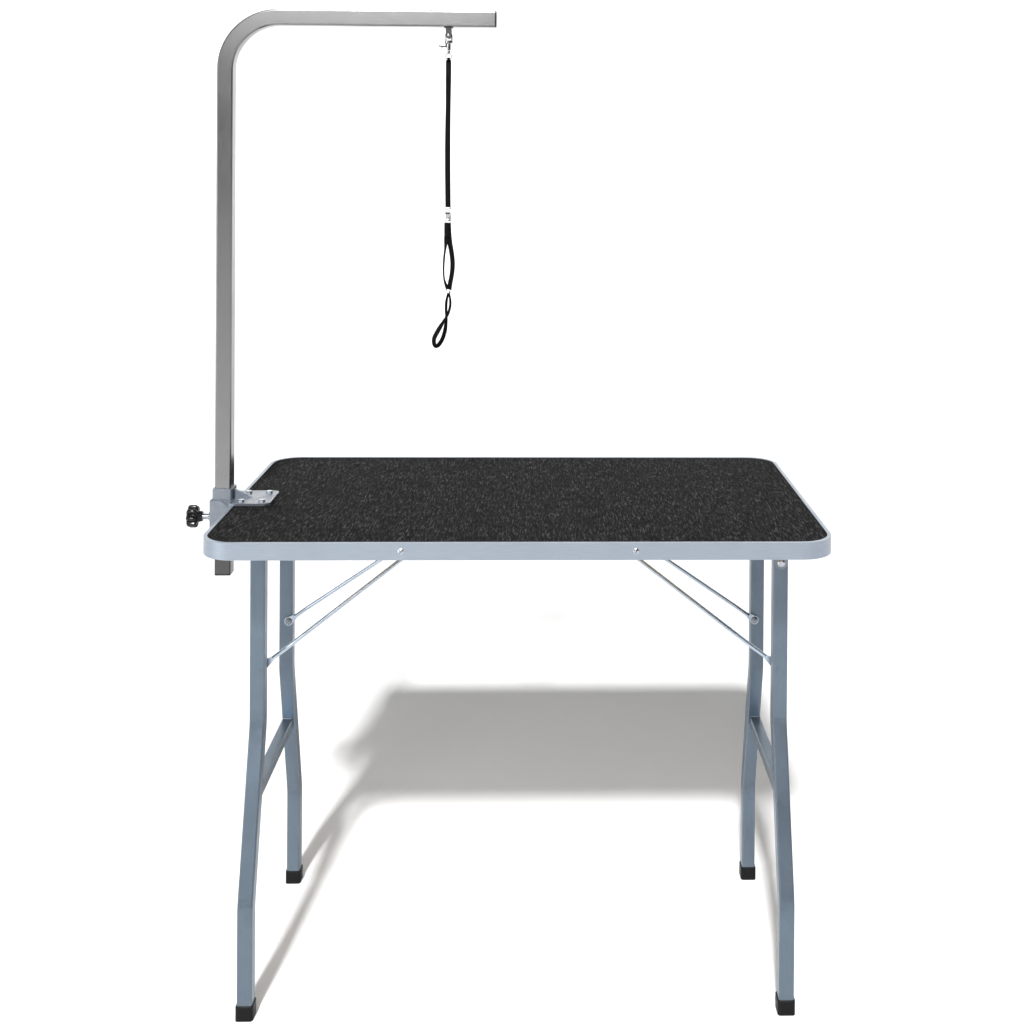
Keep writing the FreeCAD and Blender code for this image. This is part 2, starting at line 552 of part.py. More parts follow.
def make_catch_screws():
    """One screw up through each catch's flange."""
    seat = value("top_height - rim_height + rim_sheet - catch_thick")
    solids = []
    for side, sign in SIDES.items():
        for outward in ROWS.values():
            toward = -outward if side == "left" else outward
            middle = value(f"{outward} * stay_y_{side} + {toward} * (stay_radius + catch_gap + catch_thick / 2)")
            foot = Vector(value(f"table_x + {sign} * (leg_x - stay_offset - stay_run)"),
                          middle + toward * value("catch_screw_in"), seat)
            solids.append(dome_screw(foot, Vector(0, 0, -1), value("catch_screw_head"), value("catch_screw_dome"),
                                     value("screw_shank"), value("screw_reach")))
    group("catch_screws", solids)


# ---------------------------------------------------------------- arm


def make_arm():
    """One square tube: an upright mast bent over into a level beam."""
    body = new_body("arm_tube", "table_x - arm_x", "-arm_y", "arm_foot")
    section = sketch(body, "XY_Plane", "arm_section")
    rounded(section, "arm_side", "arm_side", "arm_corner")
    rounded(section, "(arm_side - 2 * arm_wall)", "(arm_side - 2 * arm_wall)", "(arm_corner - arm_wall)")
    path = sketch(body, "XZ_Plane", "arm_path")
    level = "arm_top - arm_side / 2 - arm_foot"
    edges = bent_path(path, [("0", "0"), ("0", level), ("arm_x - beam_end", level)], ["arm_bend"])
    pipe(body, section, path, edges)
    hole = sketch(body, "XY_Plane", "eye_rivet_hole", "arm_top - arm_foot")
    circle(hole, "eye_stem", "arm_x - noose_x", "0")
    cut_down(body, hole)


def make_plug(name, turn, x, y, z):
    """A plastic plug: a flat cap with a ribbed shank inside the tube."""
    body = new_body(name, x, y, z, turn)
    cap = sketch(body, "XY_Plane", f"{name}_cap")
    rounded(cap, "arm_side", "arm_side", "arm_corner")
    extrude(body, cap, "plug_thick")
    shank = sketch(body, "XY_Plane", f"{name}_shank")
    rounded(shank, "(arm_side - 2 * arm_wall)", "(arm_side - 2 * arm_wall)", "(arm_corner - arm_wall)")
    rounded(shank, "(arm_side - 5 * arm_wall)", "(arm_side - 5 * arm_wall)", "plug_corner")
    extrude(body, shank, "plug_reach", back=True)
    chamfer_top(body, "plug_thick", "plug_edge")


# ---------------------------------------------------------------- arm clamp


def make_clamp():
    """The cast clamp: a sleeve and collar round the mast, a plate over the table's edge and a rib."""
    body = new_body("clamp_body", "table_x - arm_x", "-arm_y")
    sleeve = sketch(body, "XY_Plane", "sleeve_outline", "sleeve_foot")
    polygon(sleeve, [("-sleeve_left", "-sleeve_half"), ("sleeve_right", "-sleeve_half"),
                     ("sleeve_right", "sleeve_half"), ("-sleeve_left", "sleeve_half")])
    extrude(body, sleeve, "plate_top - sleeve_foot")
    DOC.recompute()
    upright = [f"Edge{index}" for index, edge in enumerate(body.Tip.Shape.Edges, 1)
               if edge.BoundBox.ZLength > 1 and edge.CenterOfMass.x < 0]
    base = body.Tip
    rounding = body.newObject("PartDesign::Fillet", "sleeve_corners")
    rounding.Base = (base, upright)
    rounding.setExpression("Radius", bound("clamp_corner"))
    body.Tip = rounding
    chamfer_top(body, "plate_top", "clamp_edge")
    collar = sketch(body, "XY_Plane", "collar_outline", "plate_top - clamp_edge")
    bore = "(arm_side + 2 * sleeve_gap)"
    rounded(collar, f"({bore} + 2 * collar_wall)", f"({bore} + 2 * collar_wall)", "clamp_corner")
    extrude(body, collar, "collar_top - plate_top + clamp_edge")
    plate = sketch(body, "XY_Plane", "plate_outline", "top_height")
    reach = "(sleeve_right + plate_end)"
    polygon(plate, [("0", "-sleeve_half"), ("sleeve_right", "-plate_half"),
                    (f"{reach} - plate_corner", "-plate_half"), (reach, "plate_corner - plate_half"),
                    (reach, "plate_half - plate_corner"),
                    (f"{reach} - plate_corner", "plate_half"), ("sleeve_right", "plate_half"), ("0", "sleeve_half")])
    extrude(body, plate, "plate_top - top_height")
    rib = sketch(body, "XZ_Plane", "rib_outline")
    polygon(rib, [("sleeve_right - rib_root", "plate_top - rib_sink"),
                  ("sleeve_right + rib_reach", "plate_top - rib_sink"),
                  ("sleeve_right + rib_reach", "plate_top + rib_sink"), ("sleeve_right", "plate_top + rib_rise"),
                  ("sleeve_right - rib_root", "plate_top + rib_rise")])
    extrude(body, rib, "rib_thick", middle=True)
    mast = sketch(body, "XY_Plane", "mast_bore")
    rounded(mast, bore, bore, "arm_corner")
    cut_down(body, mast, back=True)
    screw = sketch(body, "YZ_Plane", "screw_bore")
    circle(screw, "screw_radius + screw_gap", "0", "knob_z")
    cut_down(body, screw)
    bolts = sketch(body, "XY_Plane", "plate_bolt_holes")
    for near, half in (("plate_bolt_near", "plate_bolt_half"), ("plate_bolt_near", "-plate_bolt_half"),
                       ("plate_bolt_far", "plate_bolt_half"), ("plate_bolt_far", "-plate_bolt_half")):
        circle(bolts, "screw_shank + plate_bolt_gap", f"sleeve_right + {near}", half)
    cut_down(body, bolts, back=True)


def make_clamp_bolts():
    """Four bolts down through the clamp's plate, the mat and the board."""
    solids = []
    for near in ("plate_bolt_near", "plate_bolt_far"):
        for half in (-1, 1):
            foot = Vector(value(f"table_x - arm_x + sleeve_right + {near}"),
                          value("-arm_y") + half * value("plate_bolt_half"), value("plate_top"))
            solids.append(hex_bolt(foot, Vector(0, 0, 1), value("plate_bolt_head"), value("plate_bolt_thick"),
                                   value("screw_shank"), value("plate_bolt_reach")))
    group("clamp_bolts", solids)


def make_knob():
    """A lobed hand knob, turned in section and scalloped round its edge."""
    body = new_body("clamp_knob", "table_x - knob_left", "-arm_y", "knob_z", Rotation(Vector(0, 1, 0), 90))
    half = sketch(body, "XZ_Plane", "knob_half")
    deep = "(knob_thick + knob_hub_long)"
    polygon(half, [("0", "0"), ("knob_radius - 3 * knob_edge", "0"), ("knob_radius - knob_edge", "knob_edge * 0.6"),
                   ("knob_radius", "knob_edge * 2"), ("knob_radius", "knob_thick - knob_edge"),
                   ("knob_radius - knob_edge", "knob_thick"), ("knob_hub", "knob_thick"),
                   ("knob_hub - knob_edge", deep),
                   ("0", deep)])
    revolve(body, half)
    dent = sketch(body, "XY_Plane", "knob_dent")
    circle(dent, "knob_dent", "knob_radius + knob_dent_out")
    first = cut_down(body, dent, deep, back=True)
    ring = body.newObject("PartDesign::PolarPattern", "knob_dents")
    ring.Originals = [first]
    ring.Axis = (dent, ["N_Axis"])
    ring.Angle = 360
    ring.Occurrences = 7
    body.Tip = ring
    bore = sketch(body, "XY_Plane", "knob_bore", "knob_thick - knob_bore_deep")
    circle(bore, "screw_radius")
    cut_down(body, bore, back=True)


def make_clamp_screw():
    """The threaded spindle from the knob to the pressure pad."""
    start = "(knob_left - knob_thick + knob_bore_deep)"
    body = new_body("clamp_screw", f"table_x - {start}", "-arm_y", "knob_z", Rotation(Vector(0, 1, 0), 90))
    section = sketch(body, "XY_Plane", "spindle_section")
    circle(section, "screw_radius")
    extrude(body, section, f"{start} - arm_x - arm_side / 2 - pad_gap - pad_thick")
    chamfer_top(body, "0", "screw_edge")


def make_pad():
    """The disc between the spindle's tip and the mast, held in a recess of the sleeve."""
    body = new_body("pressure_pad", "table_x - arm_x - arm_side / 2 - pad_gap - pad_thick", "-arm_y", "knob_z",
                    Rotation(Vector(0, 1, 0), 90))
    section = sketch(body, "XY_Plane", "pad_section")
    circle(section, "pad_radius")
    extrude(body, section, "pad_thick")


# ---------------------------------------------------------------- noose


def make_noose_eye():
    """A U of round wire across the beam, on a round plate that is riveted up through the tube."""
    body = new_body("noose_eye", "table_x - noose_x", "-arm_y", "arm_top - arm_side - eye_drop")
    wire_top = "eye_drop - eye_plate / 2"
    section = sketch(body, "XY_Plane", "eye_section", wire_top)
    circle(section, "eye_wire", "0", "eye_hoop")
    path = sketch(body, "YZ_Plane", "eye_path")
    edges = bent_path(path, [("eye_hoop", wire_top), ("eye_hoop", "-eye_hoop"), ("-eye_hoop", "-eye_hoop"),
                             ("-eye_hoop", wire_top)], ["eye_corner", "eye_corner"])
    pipe(body, section, path, edges)
    plate = sketch(body, "XY_Plane", "eye_plate_outline", "eye_drop - eye_plate")
    circle(plate, "eye_hoop + 1.5 * eye_wire")
    extrude(body, plate, "eye_plate")
    stem = sketch(body, "XY_Plane", "eye_stem_section", "eye_drop")
    circle(stem, "eye_stem")
    extrude(body, stem, "arm_side")
    head = sketch(body, "XY_Plane", "eye_head_section", "eye_drop + arm_side")
    circle(head, "eye_head")
    extrude(body, head, "eye_head_thick")


def make_snap_hook():
    """The snap hook: an open crook of wire above a shouldered barrel that guides the latch."""
    body = new_body("snap_hook", "table_x - noose_x", "-arm_y", "hook_top")
    section = sketch(body, "XY_Plane", "crook_section", "-hook_shoulder - hook_shoulder_long / 2")
    circle(section, "hook_wire", "hook_half", "0")
    path = sketch(body, "XZ_Plane", "crook_path")
    edges = bent_path(path, [("hook_half", "-hook_shoulder - hook_shoulder_long / 2"), ("hook_half", "-hook_wire"),
                             ("-hook_half", "-hook_wire"), ("-hook_half", "-hook_gate")],
                      ["hook_bend", "hook_bend"])
    pipe(body, section, path, edges)
    half = sketch(body, "XZ_Plane", "barrel_half")
    polygon(half, [("0", "-hook_shoulder"), ("hook_flange - hook_edge", "-hook_shoulder"),
                   ("hook_flange", "-hook_shoulder - hook_edge"),
                   ("hook_flange", "-hook_shoulder - hook_shoulder_long"),
                   ("hook_body", "-hook_shoulder - hook_shoulder_long - 2 * hook_edge"),
                   ("hook_body", "-hook_long + hook_edge"), ("hook_body - hook_edge", "-hook_long"),
                   ("0", "-hook_long")])
    revolve(body, half)
    guide = sketch(body, "XY_Plane", "latch_guide", "-hook_gate - latch_gap")
    circle(guide, "latch_radius + latch_gap", "-hook_half", "0")
    cut_down(body, guide, "hook_long")


def make_trigger():
    """The sprung latch that closes the crook, with its thumb stud."""
    body = new_body("snap_trigger", "table_x - noose_x - hook_half", "-arm_y", "hook_top - hook_gate - latch_inset")
    latch = sketch(body, "XY_Plane", "latch_section")
    circle(latch, "latch_radius")
    extrude(body, latch, "latch_long", back=True)
    stud = sketch(body, "YZ_Plane", "stud_section")
    circle(stud, "latch_radius", "0", "-latch_long + latch_radius")
    extrude(body, stud, "stud_reach", back=True)


def make_swivel():
    """The swivel below the snap hook: a turned stub and the ring that holds the strap."""
    body = new_body("swivel_ring", "table_x - noose_x", "-arm_y", "hook_top - hook_long - swivel_gap")
    half = sketch(body, "XZ_Plane", "swivel_half")
    polygon(half, [("0", "0"), ("swivel_radius", "-swivel_crown"), ("swivel_radius", "-swivel_shoulder"),
                   ("swivel_neck", "-swivel_taper"), ("swivel_neck", "-swivel_foot"), ("0", "-swivel_foot")])
    revolve(body, half)
    ring = sketch(body, "XZ_Plane", "strap_ring")
    circle(ring, "swivel_ring", "0", "-swivel_hang - swivel_ring")
    circle(ring, "swivel_ring - swivel_wire", "0", "-swivel_hang - swivel_ring")
    extrude(body, ring, "swivel_wire", middle=True)


def strap(name, z, height, width, thick):
    """A straight run of flat webbing that hangs down from z."""
    body = new_body(name, "table_x - noose_x", "-arm_y", z)
    section = sketch(body, "XY_Plane", f"{name}_section")
    rounded(section, width, thick, "strap_corner")
    extrude(body, section, height, back=True)


def make_slider():
    """The sprung metal slide that grips the doubled strap."""
    body = new_body("noose_slider", "table_x - noose_x", "-arm_y", "slider_top")
    outline = sketch(body, "XY_Plane", "slider_outline")
    rounded(outline, "slider_width", "slider_depth", "slider_corner")
    rounded(outline, "(slider_width - 2 * slider_wall)", "(slider_depth - 2 * slider_wall)",
            "(slider_corner - slider_wall)")
    extrude(body, outline, "slider_height", back=True)


def make_band_loop(name, x, top, foot, half, corner):
    """A closed band of webbing on edge: down one side, round the foot and up the other."""
    body = new_body(name, x, "-arm_y", f"({top} + {foot}) / 2")
    for label, grow, wide in (("outer", "strap_thick / 2", "tape_width"),
                              ("inner", "-strap_thick / 2", "2 * tape_width")):
        made = sketch(body, "XZ_Plane", f"{name}_{label}")
        rounded(made, f"(2 * ({half} + {grow}))", f"({top} - {foot} + 2 * ({grow}))", f"({corner} + {grow})")
        if label == "inner":
            cut_down(body, made, wide, middle=True)
        else:
            extrude(body, made, wide, middle=True)


def make_noose():
    """Strap, slider, loop, twisted tapes and end loop of the noose."""
    strap("noose_strap", "strap_top", "strap_top - slider_top + slider_height", "strap_width", "strap_thick")
    make_slider()
    make_band_loop("noose_loop", "table_x - noose_x", "(slider_top - slider_height - loop_gap)", "loop_foot",
                   "loop_half", "loop_corner")
    strap("loop_twist", "twist_top", "twist_top - twist_foot", "tape_width", "(2 * strap_thick)")
    make_band_loop("end_loop", "table_x - noose_x - end_loop_shift", "end_loop_top", "end_loop_foot",
                   "end_loop_half", "end_loop_corner")


# ---------------------------------------------------------------- build


def check_and_write():
    """Stop on any failed object, then write each sub-part to its own file."""
    DOC.recompute()
    for item in DOC.Objects:
        if any(word in item.State for word in ("Invalid", "Error")):
            raise RuntimeError(f"{item.Label} failed: {item.State}")
    os.makedirs("parts", exist_ok=True)
    for part in PARTS:
        if part.Shape.isNull() or not part.Shape.isValid() or not part.Shape.Solids:
            raise RuntimeError(f"{part.Label} has no valid solid")
        part.Shape.exportStep(f"parts/{part.Label}.step")
        print(f"{part.Label:28s} {len(part.Shape.Solids)} solids {part.Shape.Volume / 1000:10.2f} cm3")
    print(len(PARTS), "sub-parts")


def main():
    """Make every sub-part in the order in which the table is put together."""
    make_board()
    make_mat()
    make_rim()
    make_rim_screws()
    for side in SIDES:
        for row in ROWS:
            make_hinge_bracket(side, row)
            make_leg(side, row)
            make_foot_cap(side, row)
            make_stay(side, row)
            make_catch(side, row)
        make_cross_tube(side)
        make_stay_bolts(side)
    make_hinge_pins()
    make_bracket_screws()
    make_catch_screws()
    make_arm()
    make_plug("beam_plug", Rotation(Vector(0, 1, 0), 90), "table_x - beam_end", "-arm_y", "arm_top - arm_side / 2")
    make_plug("mast_plug", Rotation(Vector(1, 0, 0), 180), "table_x - arm_x", "-arm_y", "arm_foot")
    make_clamp()
    make_clamp_bolts()
    make_knob()
    make_clamp_screw()
    make_pad()
    make_noose_eye()
    make_snap_hook()
    make_trigger()
    make_swivel()
    make_noose()
    check_and_write()


main()
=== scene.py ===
import logging
import math
from collections.abc import Callable, Sequence
from dataclasses import dataclass, field
from enum import Enum
from itertools import accumulate

import bmesh
import bpy
from mathutils import Matrix, Vector


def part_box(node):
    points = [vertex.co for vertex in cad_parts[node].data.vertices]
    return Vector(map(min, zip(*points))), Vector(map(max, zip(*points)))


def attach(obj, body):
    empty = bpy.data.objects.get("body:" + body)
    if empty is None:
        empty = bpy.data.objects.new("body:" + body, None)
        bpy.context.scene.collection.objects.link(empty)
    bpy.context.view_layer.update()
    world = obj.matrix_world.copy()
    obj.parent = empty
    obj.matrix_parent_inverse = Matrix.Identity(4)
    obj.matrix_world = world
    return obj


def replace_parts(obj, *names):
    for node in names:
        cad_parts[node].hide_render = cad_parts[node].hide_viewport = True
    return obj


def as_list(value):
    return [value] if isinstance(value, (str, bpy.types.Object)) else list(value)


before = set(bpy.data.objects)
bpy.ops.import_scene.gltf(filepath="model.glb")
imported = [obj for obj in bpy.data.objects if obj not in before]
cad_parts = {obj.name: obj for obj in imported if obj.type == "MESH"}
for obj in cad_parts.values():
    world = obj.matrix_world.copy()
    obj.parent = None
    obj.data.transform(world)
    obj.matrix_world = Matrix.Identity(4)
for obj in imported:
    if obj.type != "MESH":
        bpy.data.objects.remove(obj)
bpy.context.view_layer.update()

Colour = tuple[float, float, float]
Stretch = tuple[float, float, float]
Stops = Sequence[tuple[float, float]]
Stations = Sequence[tuple[float, float, float]]
MM = 1000
SIDES = ("left", "right")
EVEN: Stretch = (1.0, 1.0, 1.0)
log = logging.getLogger("grooming_table")


# ---------------------------------------------------------------- shader maths


class Wire:
    """A shader socket that can be used in sums."""

    def __init__(self, tree: "Tree", socket: bpy.types.NodeSocket) -> None:
        """Wrap one output socket of a node tree."""
        self.tree = tree
        self.socket = socket

    def _math(self, operation: str, first: "Wire | float", second: "Wire | float") -> "Wire":
        """Add a Math node.

        Args:
            operation: the node's operation, such as ADD.
            first: its first value.
            second: its second value.

        Returns:
            The node's result.
        """
        return self.tree.node("ShaderNodeMath", {"operation": operation}, {0: first, 1: second})

    def __add__(self, other: "Wire | float") -> "Wire":
        """Sum."""
        return self._math("ADD", self, other)

    def __sub__(self, other: "Wire | float") -> "Wire":
        """Difference."""
        return self._math("SUBTRACT", self, other)

    def __rsub__(self, other: float) -> "Wire":
        """Difference from a number."""
        return self._math("SUBTRACT", other, self)

    def __mul__(self, other: "Wire | float") -> "Wire":
        """Product."""
        return self._math("MULTIPLY", self, other)

    def __abs__(self) -> "Wire":
        """The value without its sign."""
        return self._math("ABSOLUTE", self, 0.0)

    __radd__ = __add__
    __rmul__ = __mul__


class Tree:
    """A node tree, with the one method that makes its nodes."""

    def __init__(self, made: bpy.types.NodeTree) -> None:
        """Wrap a material's or the world's node tree."""
        self.nodes = made.nodes
        self.links = made.links

    def node(self, kind: str, settings: dict | None = None, values: dict | None = None, output: int | str = 0) -> Wire:
        """Make a node.

        Args:
            kind: the node's type.
            settings: its properties; "stops" gives a ramp's places and colours.
            values: numbers, colours or wires for its inputs, by name or index.
            output: which output is wanted.

        Returns:
            The wanted output.
        """
        made = self.nodes.new(kind)
        for key, setting in (settings or {}).items():
            if key == "stops":
                ramp = made.color_ramp
                while len(ramp.elements) < len(setting):
                    ramp.elements.new(0.5)
                for element, (place, colour) in zip(ramp.elements, setting):
                    element.position = place
                    element.color = (*colour, 1.0)
            else:
                setattr(made, key, setting)
        for key, entry in (values or {}).items():
            if isinstance(entry, Wire):
                self.links.new(entry.socket, made.inputs[key])
            else:
                made.inputs[key].default_value = entry
        return Wire(self, made.outputs[output])


class Shader(Tree):
    """One material's nodes round its Principled BSDF."""

    def __init__(self, name: str) -> None:
        """Start an empty material."""
        self.material = bpy.data.materials.new(name)
        self.material.use_nodes = True
        super().__init__(self.material.node_tree)
        self.nodes.clear()
        self.surface = self.nodes.new("ShaderNodeBsdfPrincipled")
        end = self.nodes.new("ShaderNodeOutputMaterial")
        self.links.new(self.surface.outputs[0], end.inputs["Surface"])

    def feed(self, name: str, wire: Wire) -> None:
        """Link a wire to one of the surface's inputs."""
        self.links.new(wire.socket, self.surface.inputs[name])

    def uniform(self, **numbers: float | tuple) -> None:
        """Set values that are the same all over; an underscore in a name stands for a space."""
        for name, number in numbers.items():
            self.surface.inputs[name.replace("_", " ")].default_value = number

    def times(self, first: Wire, second: Wire | Stretch) -> Wire:
        """Multiply two vectors or colours part by part."""
        return self.node("ShaderNodeVectorMath", {"operation": "MULTIPLY"}, {0: first, 1: second})

    def place(self, stretch: Stretch = EVEN) -> Wire:
        """The point in the object's own frame, in metres, times a stretch."""
        return self.times(self.node("ShaderNodeTexCoord", output="Object"), stretch)

    def height(self) -> Wire:
        """The point's height in the object's own frame, in metres."""
        return self.node("ShaderNodeSeparateXYZ", None, {0: self.place()}, 2)

    def noise(self, scale: float, stretch: Stretch = EVEN, detail: float = 3.0, rough: float = 0.55) -> Wire:
        """Cloudy noise from 0 to 1, scale in features per metre.

        Args:
            scale: features per metre.
            stretch: how the coordinates are stretched.
            detail: octaves.
            rough: how strong the finer octaves are.

        Returns:
            The noise.
        """
        return self.node("ShaderNodeTexNoise", None, {"Vector": self.place(stretch), "Scale": scale,
                                                      "Detail": detail, "Roughness": rough})

    def bands(self, direction: str, vector: Wire, scale: float, distortion: float, **more: float) -> Wire:
        """Bands from 0 to 1.

        Args:
            direction: the axis across the bands.
            vector: the coordinates.
            scale: how close the bands are.
            distortion: how much they wander.
            more: other inputs; an underscore in a name stands for a space.

        Returns:
            The bands.
        """
        others = {name.replace("_", " "): number for name, number in more.items()}
        return self.node("ShaderNodeTexWave", {"wave_type": "BANDS", "bands_direction": direction},
                         {"Vector": vector, "Scale": scale, "Distortion": distortion, **others}, "Fac")

    def ramp(self, factor: Wire, *stops: tuple[float, Colour]) -> Wire:
        """A colour ramp over a factor."""
        return self.node("ShaderNodeValToRGB", {"stops": stops}, {"Fac": factor})

    def span(self, factor: Wire, low: float, high: float, start: float = 0.0, stop: float = 1.0) -> Wire:
        """Map a factor from start-stop to low-high, held at the ends.

        Args:
            factor: the value.
            low: the result at start.
            high: the result at stop.
            start: where the range begins.
            stop: where it ends.

        Returns:
            The mapped value.
        """
        return self.node("ShaderNodeMapRange", None, {0: factor, 1: start, 2: stop, 3: low, 4: high})

    def mix(self, factor: Wire, first: Wire | Colour, second: Wire | Colour) -> Wire:
        """Mix two colours.

        Args:
            factor: the second colour's share.
            first: one colour.
            second: the other.

        Returns:
            The mixed colour.
        """
        pair = [side if isinstance(side, Wire) else (*side, 1.0) for side in (first, second)]
        return self.node("ShaderNodeMix", {"data_type": "RGBA"}, {0: factor, 6: pair[0], 7: pair[1]}, 2)

    def relief(self, height: Wire, distance: float, strength: float) -> None:
        """Bump from a height of 0 to 1, distance in metres.

        Args:
            height: the height.
            distance: depth of the relief, in metres.
            strength: how strongly it shows.
        """
        self.feed("Normal", self.node("ShaderNodeBump", None,
                                      {"Height": height, "Distance": distance, "Strength": strength}, "Normal"))


# ---------------------------------------------------------------- finishes


@dataclass(frozen=True)
class Finish:
    """A surface's base.

    Attributes:
        name: the material's name.
        colour: its base colour.
        rough: its roughness.
        metal: its metalness.
    """

    name: str
    colour: Colour
    rough: float = 0.4
    metal: float = 0.0

    def material(self) -> bpy.types.Material:
        """The finished material, made once.

        Returns:
            The material.
        """
        if self.name in bpy.data.materials:
            return bpy.data.materials[self.name]
        shader = Shader(self.name)
        shader.uniform(Base_Color=(*self.colour, 1.0), Roughness=self.rough, Metallic=self.metal)
        self.dress(shader)
        return shader.material

    def dress(self, shader: Shader) -> None:
        """Add the finish's own detail."""

    def shade(self, amount: float) -> Colour:
        """The base colour times an amount."""
        return tuple(min(1.0, part * amount) for part in self.colour)


@dataclass(frozen=True)
class RubberMat(Finish):
    """Dark rubber with a coarse moulded grain drawn out from front to back, pale specks of dust and painted highlight,
    and mottling.

    Attributes:
        grain: scale of the grain.
        grain_along: stretch of the grain.
        marks: scale of the specks, paled with dust and painted highlight.
        marks_along: stretch of the marks.
        share: the grain's share of the surface; the marks have the rest.
        dust_and_highlights: places in the surface and how much paler than the base colour it is there; the palest are
            dust and painted highlights.
        clouds: scale of the mottling.
        cloudy: the mottling's darkest and palest shade.
        deep: depth of the grain, in metres.
    """

    grain: float = 380.0
    grain_along: Stretch = (1.0, 0.11, 1.0)
    marks: float = 800.0
    marks_along: Stretch = (1.0, 0.13, 1.0)
    share: float = 0.55
    dust_and_highlights: Stops = ((0.40, 0.05), (0.49, 0.6), (0.55, 3.4), (0.63, 11.0))
    clouds: float = 24.0
    cloudy: tuple[float, float] = (0.62, 1.4)
    deep: float = 0.0012

    def dress(self, shader: Shader) -> None:
        """Grain, pale specks of dust and painted highlight, and mottling.

        Args:
            shader: the material's nodes.
        """
        grain = shader.noise(self.grain, self.grain_along, 5.0, 0.7)
        marks = shader.noise(self.marks, self.marks_along, 3.0, 0.75)
        cloud = shader.noise(self.clouds, EVEN, 4.0, 0.6)
        # dust and painted highlights: the ramp's palest stops lighten the grain and specks
        tone = shader.ramp(grain * self.share + marks * (1 - self.share),
                           *((place, self.shade(amount)) for place, amount in self.dust_and_highlights))
        dark, pale = self.cloudy
        shader.feed("Base Color", shader.times(tone, shader.ramp(cloud, (0.3, (dark,) * 3), (0.7, (pale,) * 3))))
        shader.feed("Roughness", shader.span(cloud, 0.72, 0.92))
        shader.uniform(Specular_IOR_Level=0.05)
        shader.relief(grain * 0.6 + marks * 0.4, self.deep, 0.8)


@dataclass(frozen=True)
class DrawnMetal(Finish):
    """Metal with fine lines along its length and slight stains.

    Attributes:
        along: stretch of the texture; the small number is the direction of the lines.
        lines: how much the lines change the tone.
        fine: scale of the lines.
        stains: scale of the stains.
        stained: the stains' shade.
        scored: depth of the lines, in metres.
    """

    along: Stretch = (1.0, 1.0, 0.02)
    lines: float = 0.12
    fine: float = 1500.0
    stains: float = 9.0
    stained: float = 0.82
    scored: float = 0.00002

    def drawn(self, shader: Shader, along: Stretch) -> Wire:
        """The lines, from 0 to 1."""
        return shader.noise(self.fine, along, 2.0, 0.6)

    def stain(self, shader: Shader) -> Wire:
        """The stains, from 0 to 1."""
        return shader.noise(self.stains, detail=5.0, rough=0.65)

    def wear(self, shader: Shader, stain: Wire) -> Wire:
        """How worn the surface is, from its stains."""
        return shader.span(stain, 0.0, 0.35, 0.35, 0.8)

    def tone(self, shader: Shader, lines: Wire, wear: Wire) -> Wire:
        """The colour with its lines, darker where it is worn.

        Args:
            shader: the material's nodes.
            lines: the lines.
            wear: how worn it is.

        Returns:
            The colour.
        """
        lined = shader.mix(shader.span(lines, 0.0, 1.0, 0.35, 0.65), self.shade(1 - self.lines),
                           self.shade(1 + self.lines))
        return shader.mix(wear, lined, self.shade(self.stained))

    def dull(self, shader: Shader, lines: Wire, stain: Wire) -> None:
        """Vary the roughness with lines and stains."""
        shader.feed("Roughness", shader.span(lines * 0.5 + stain * 0.5, self.rough * 0.75, self.rough * 1.3, 0.3, 0.7))

    def dress(self, shader: Shader) -> None:
        """Lines, stains and roughness.

        Args:
            shader: the material's nodes.
        """
        lines, stain = self.drawn(shader, self.along), self.stain(shader)
        shader.feed("Base Color", self.tone(shader, lines, self.wear(shader, stain)))
        self.dull(shader, lines, stain)
        shader.relief(lines, self.scored, 0.35)


@dataclass(frozen=True)
class FootShadedTube(DrawnMetal):
    """Bent tube with lines along mast and beam, and painted shade darkening its foot below the clamp.

    Attributes:
        shade_full_below: height below which the painted shade is full, in metres.
        shade_none_above: height above which there is no painted shade, in metres.
        painted_foot_shade: how dark the painted shade makes the foot.
        beam: heights between which the lines turn from upright to lying, in metres.
        across: stretch of the texture on the beam.
    """

    shade_full_below: float = 0.735
    shade_none_above: float = 0.775
    painted_foot_shade: float = 0.35
    beam: tuple[float, float] = (1.55, 1.62)
    across: Stretch = (0.02, 1.0, 1.0)

    def dress(self, shader: Shader) -> None:
        """Lines and stains, and painted shade on the foot.

        Args:
            shader: the material's nodes.
        """
        level = shader.height()
        upper = shader.span(level, 0.0, 1.0, *self.beam)
        lines = self.drawn(shader, self.along) * (1.0 - upper) + self.drawn(shader, self.across) * upper
        stain = self.stain(shader)
        tone = self.tone(shader, lines, self.wear(shader, stain))
        # painted shade: the colour darkens towards the foot of the tube, below the clamp
        foot = shader.span(level, 1.0, 0.0, self.shade_full_below, self.shade_none_above)
        shader.feed("Base Color", shader.mix(foot, tone, self.shade(self.painted_foot_shade)))
        self.dull(shader, lines, stain)
        shader.relief(lines, self.scored, 0.35)


@dataclass(frozen=True)
class BentTube(DrawnMetal):
    """Drawn tube whose wall is creased where it was bent, the creases darkened with painted shade.

    Attributes:
        bends: heights of the two bends' middles, in metres.
        reach: how far a crease reaches above and below a bend, in metres.
        creased: depth of the creases, in metres.
    """

    stained: float = 0.72
    bends: tuple[float, float] = (0.445, 0.180)
    reach: float = 0.030
    creased: float = 0.0016

    def dress(self, shader: Shader) -> None:
        """Lines and stains as on any tube, then the creases, with painted shade in them.

        Args:
            shader: the material's nodes.
        """
        lines, stain = self.drawn(shader, self.along), self.stain(shader)
        level = shader.height()
        upper, lower = (shader.span(abs(level - bend), 1.0, 0.0, 0.0, self.reach) for bend in self.bends)
        crease = upper + lower
        dent = shader.noise(60, (1.0, 1.0, 1.8), 2.0, 0.4)
        # painted shade: the creases round each bend are darkened, on top of the stains' darkening
        shader.feed("Base Color", self.tone(shader, lines, self.wear(shader, stain) + crease * dent * 0.7))
        self.dull(shader, lines, stain)
        shader.relief(dent * crease + lines * 0.01, self.creased, 0.7)


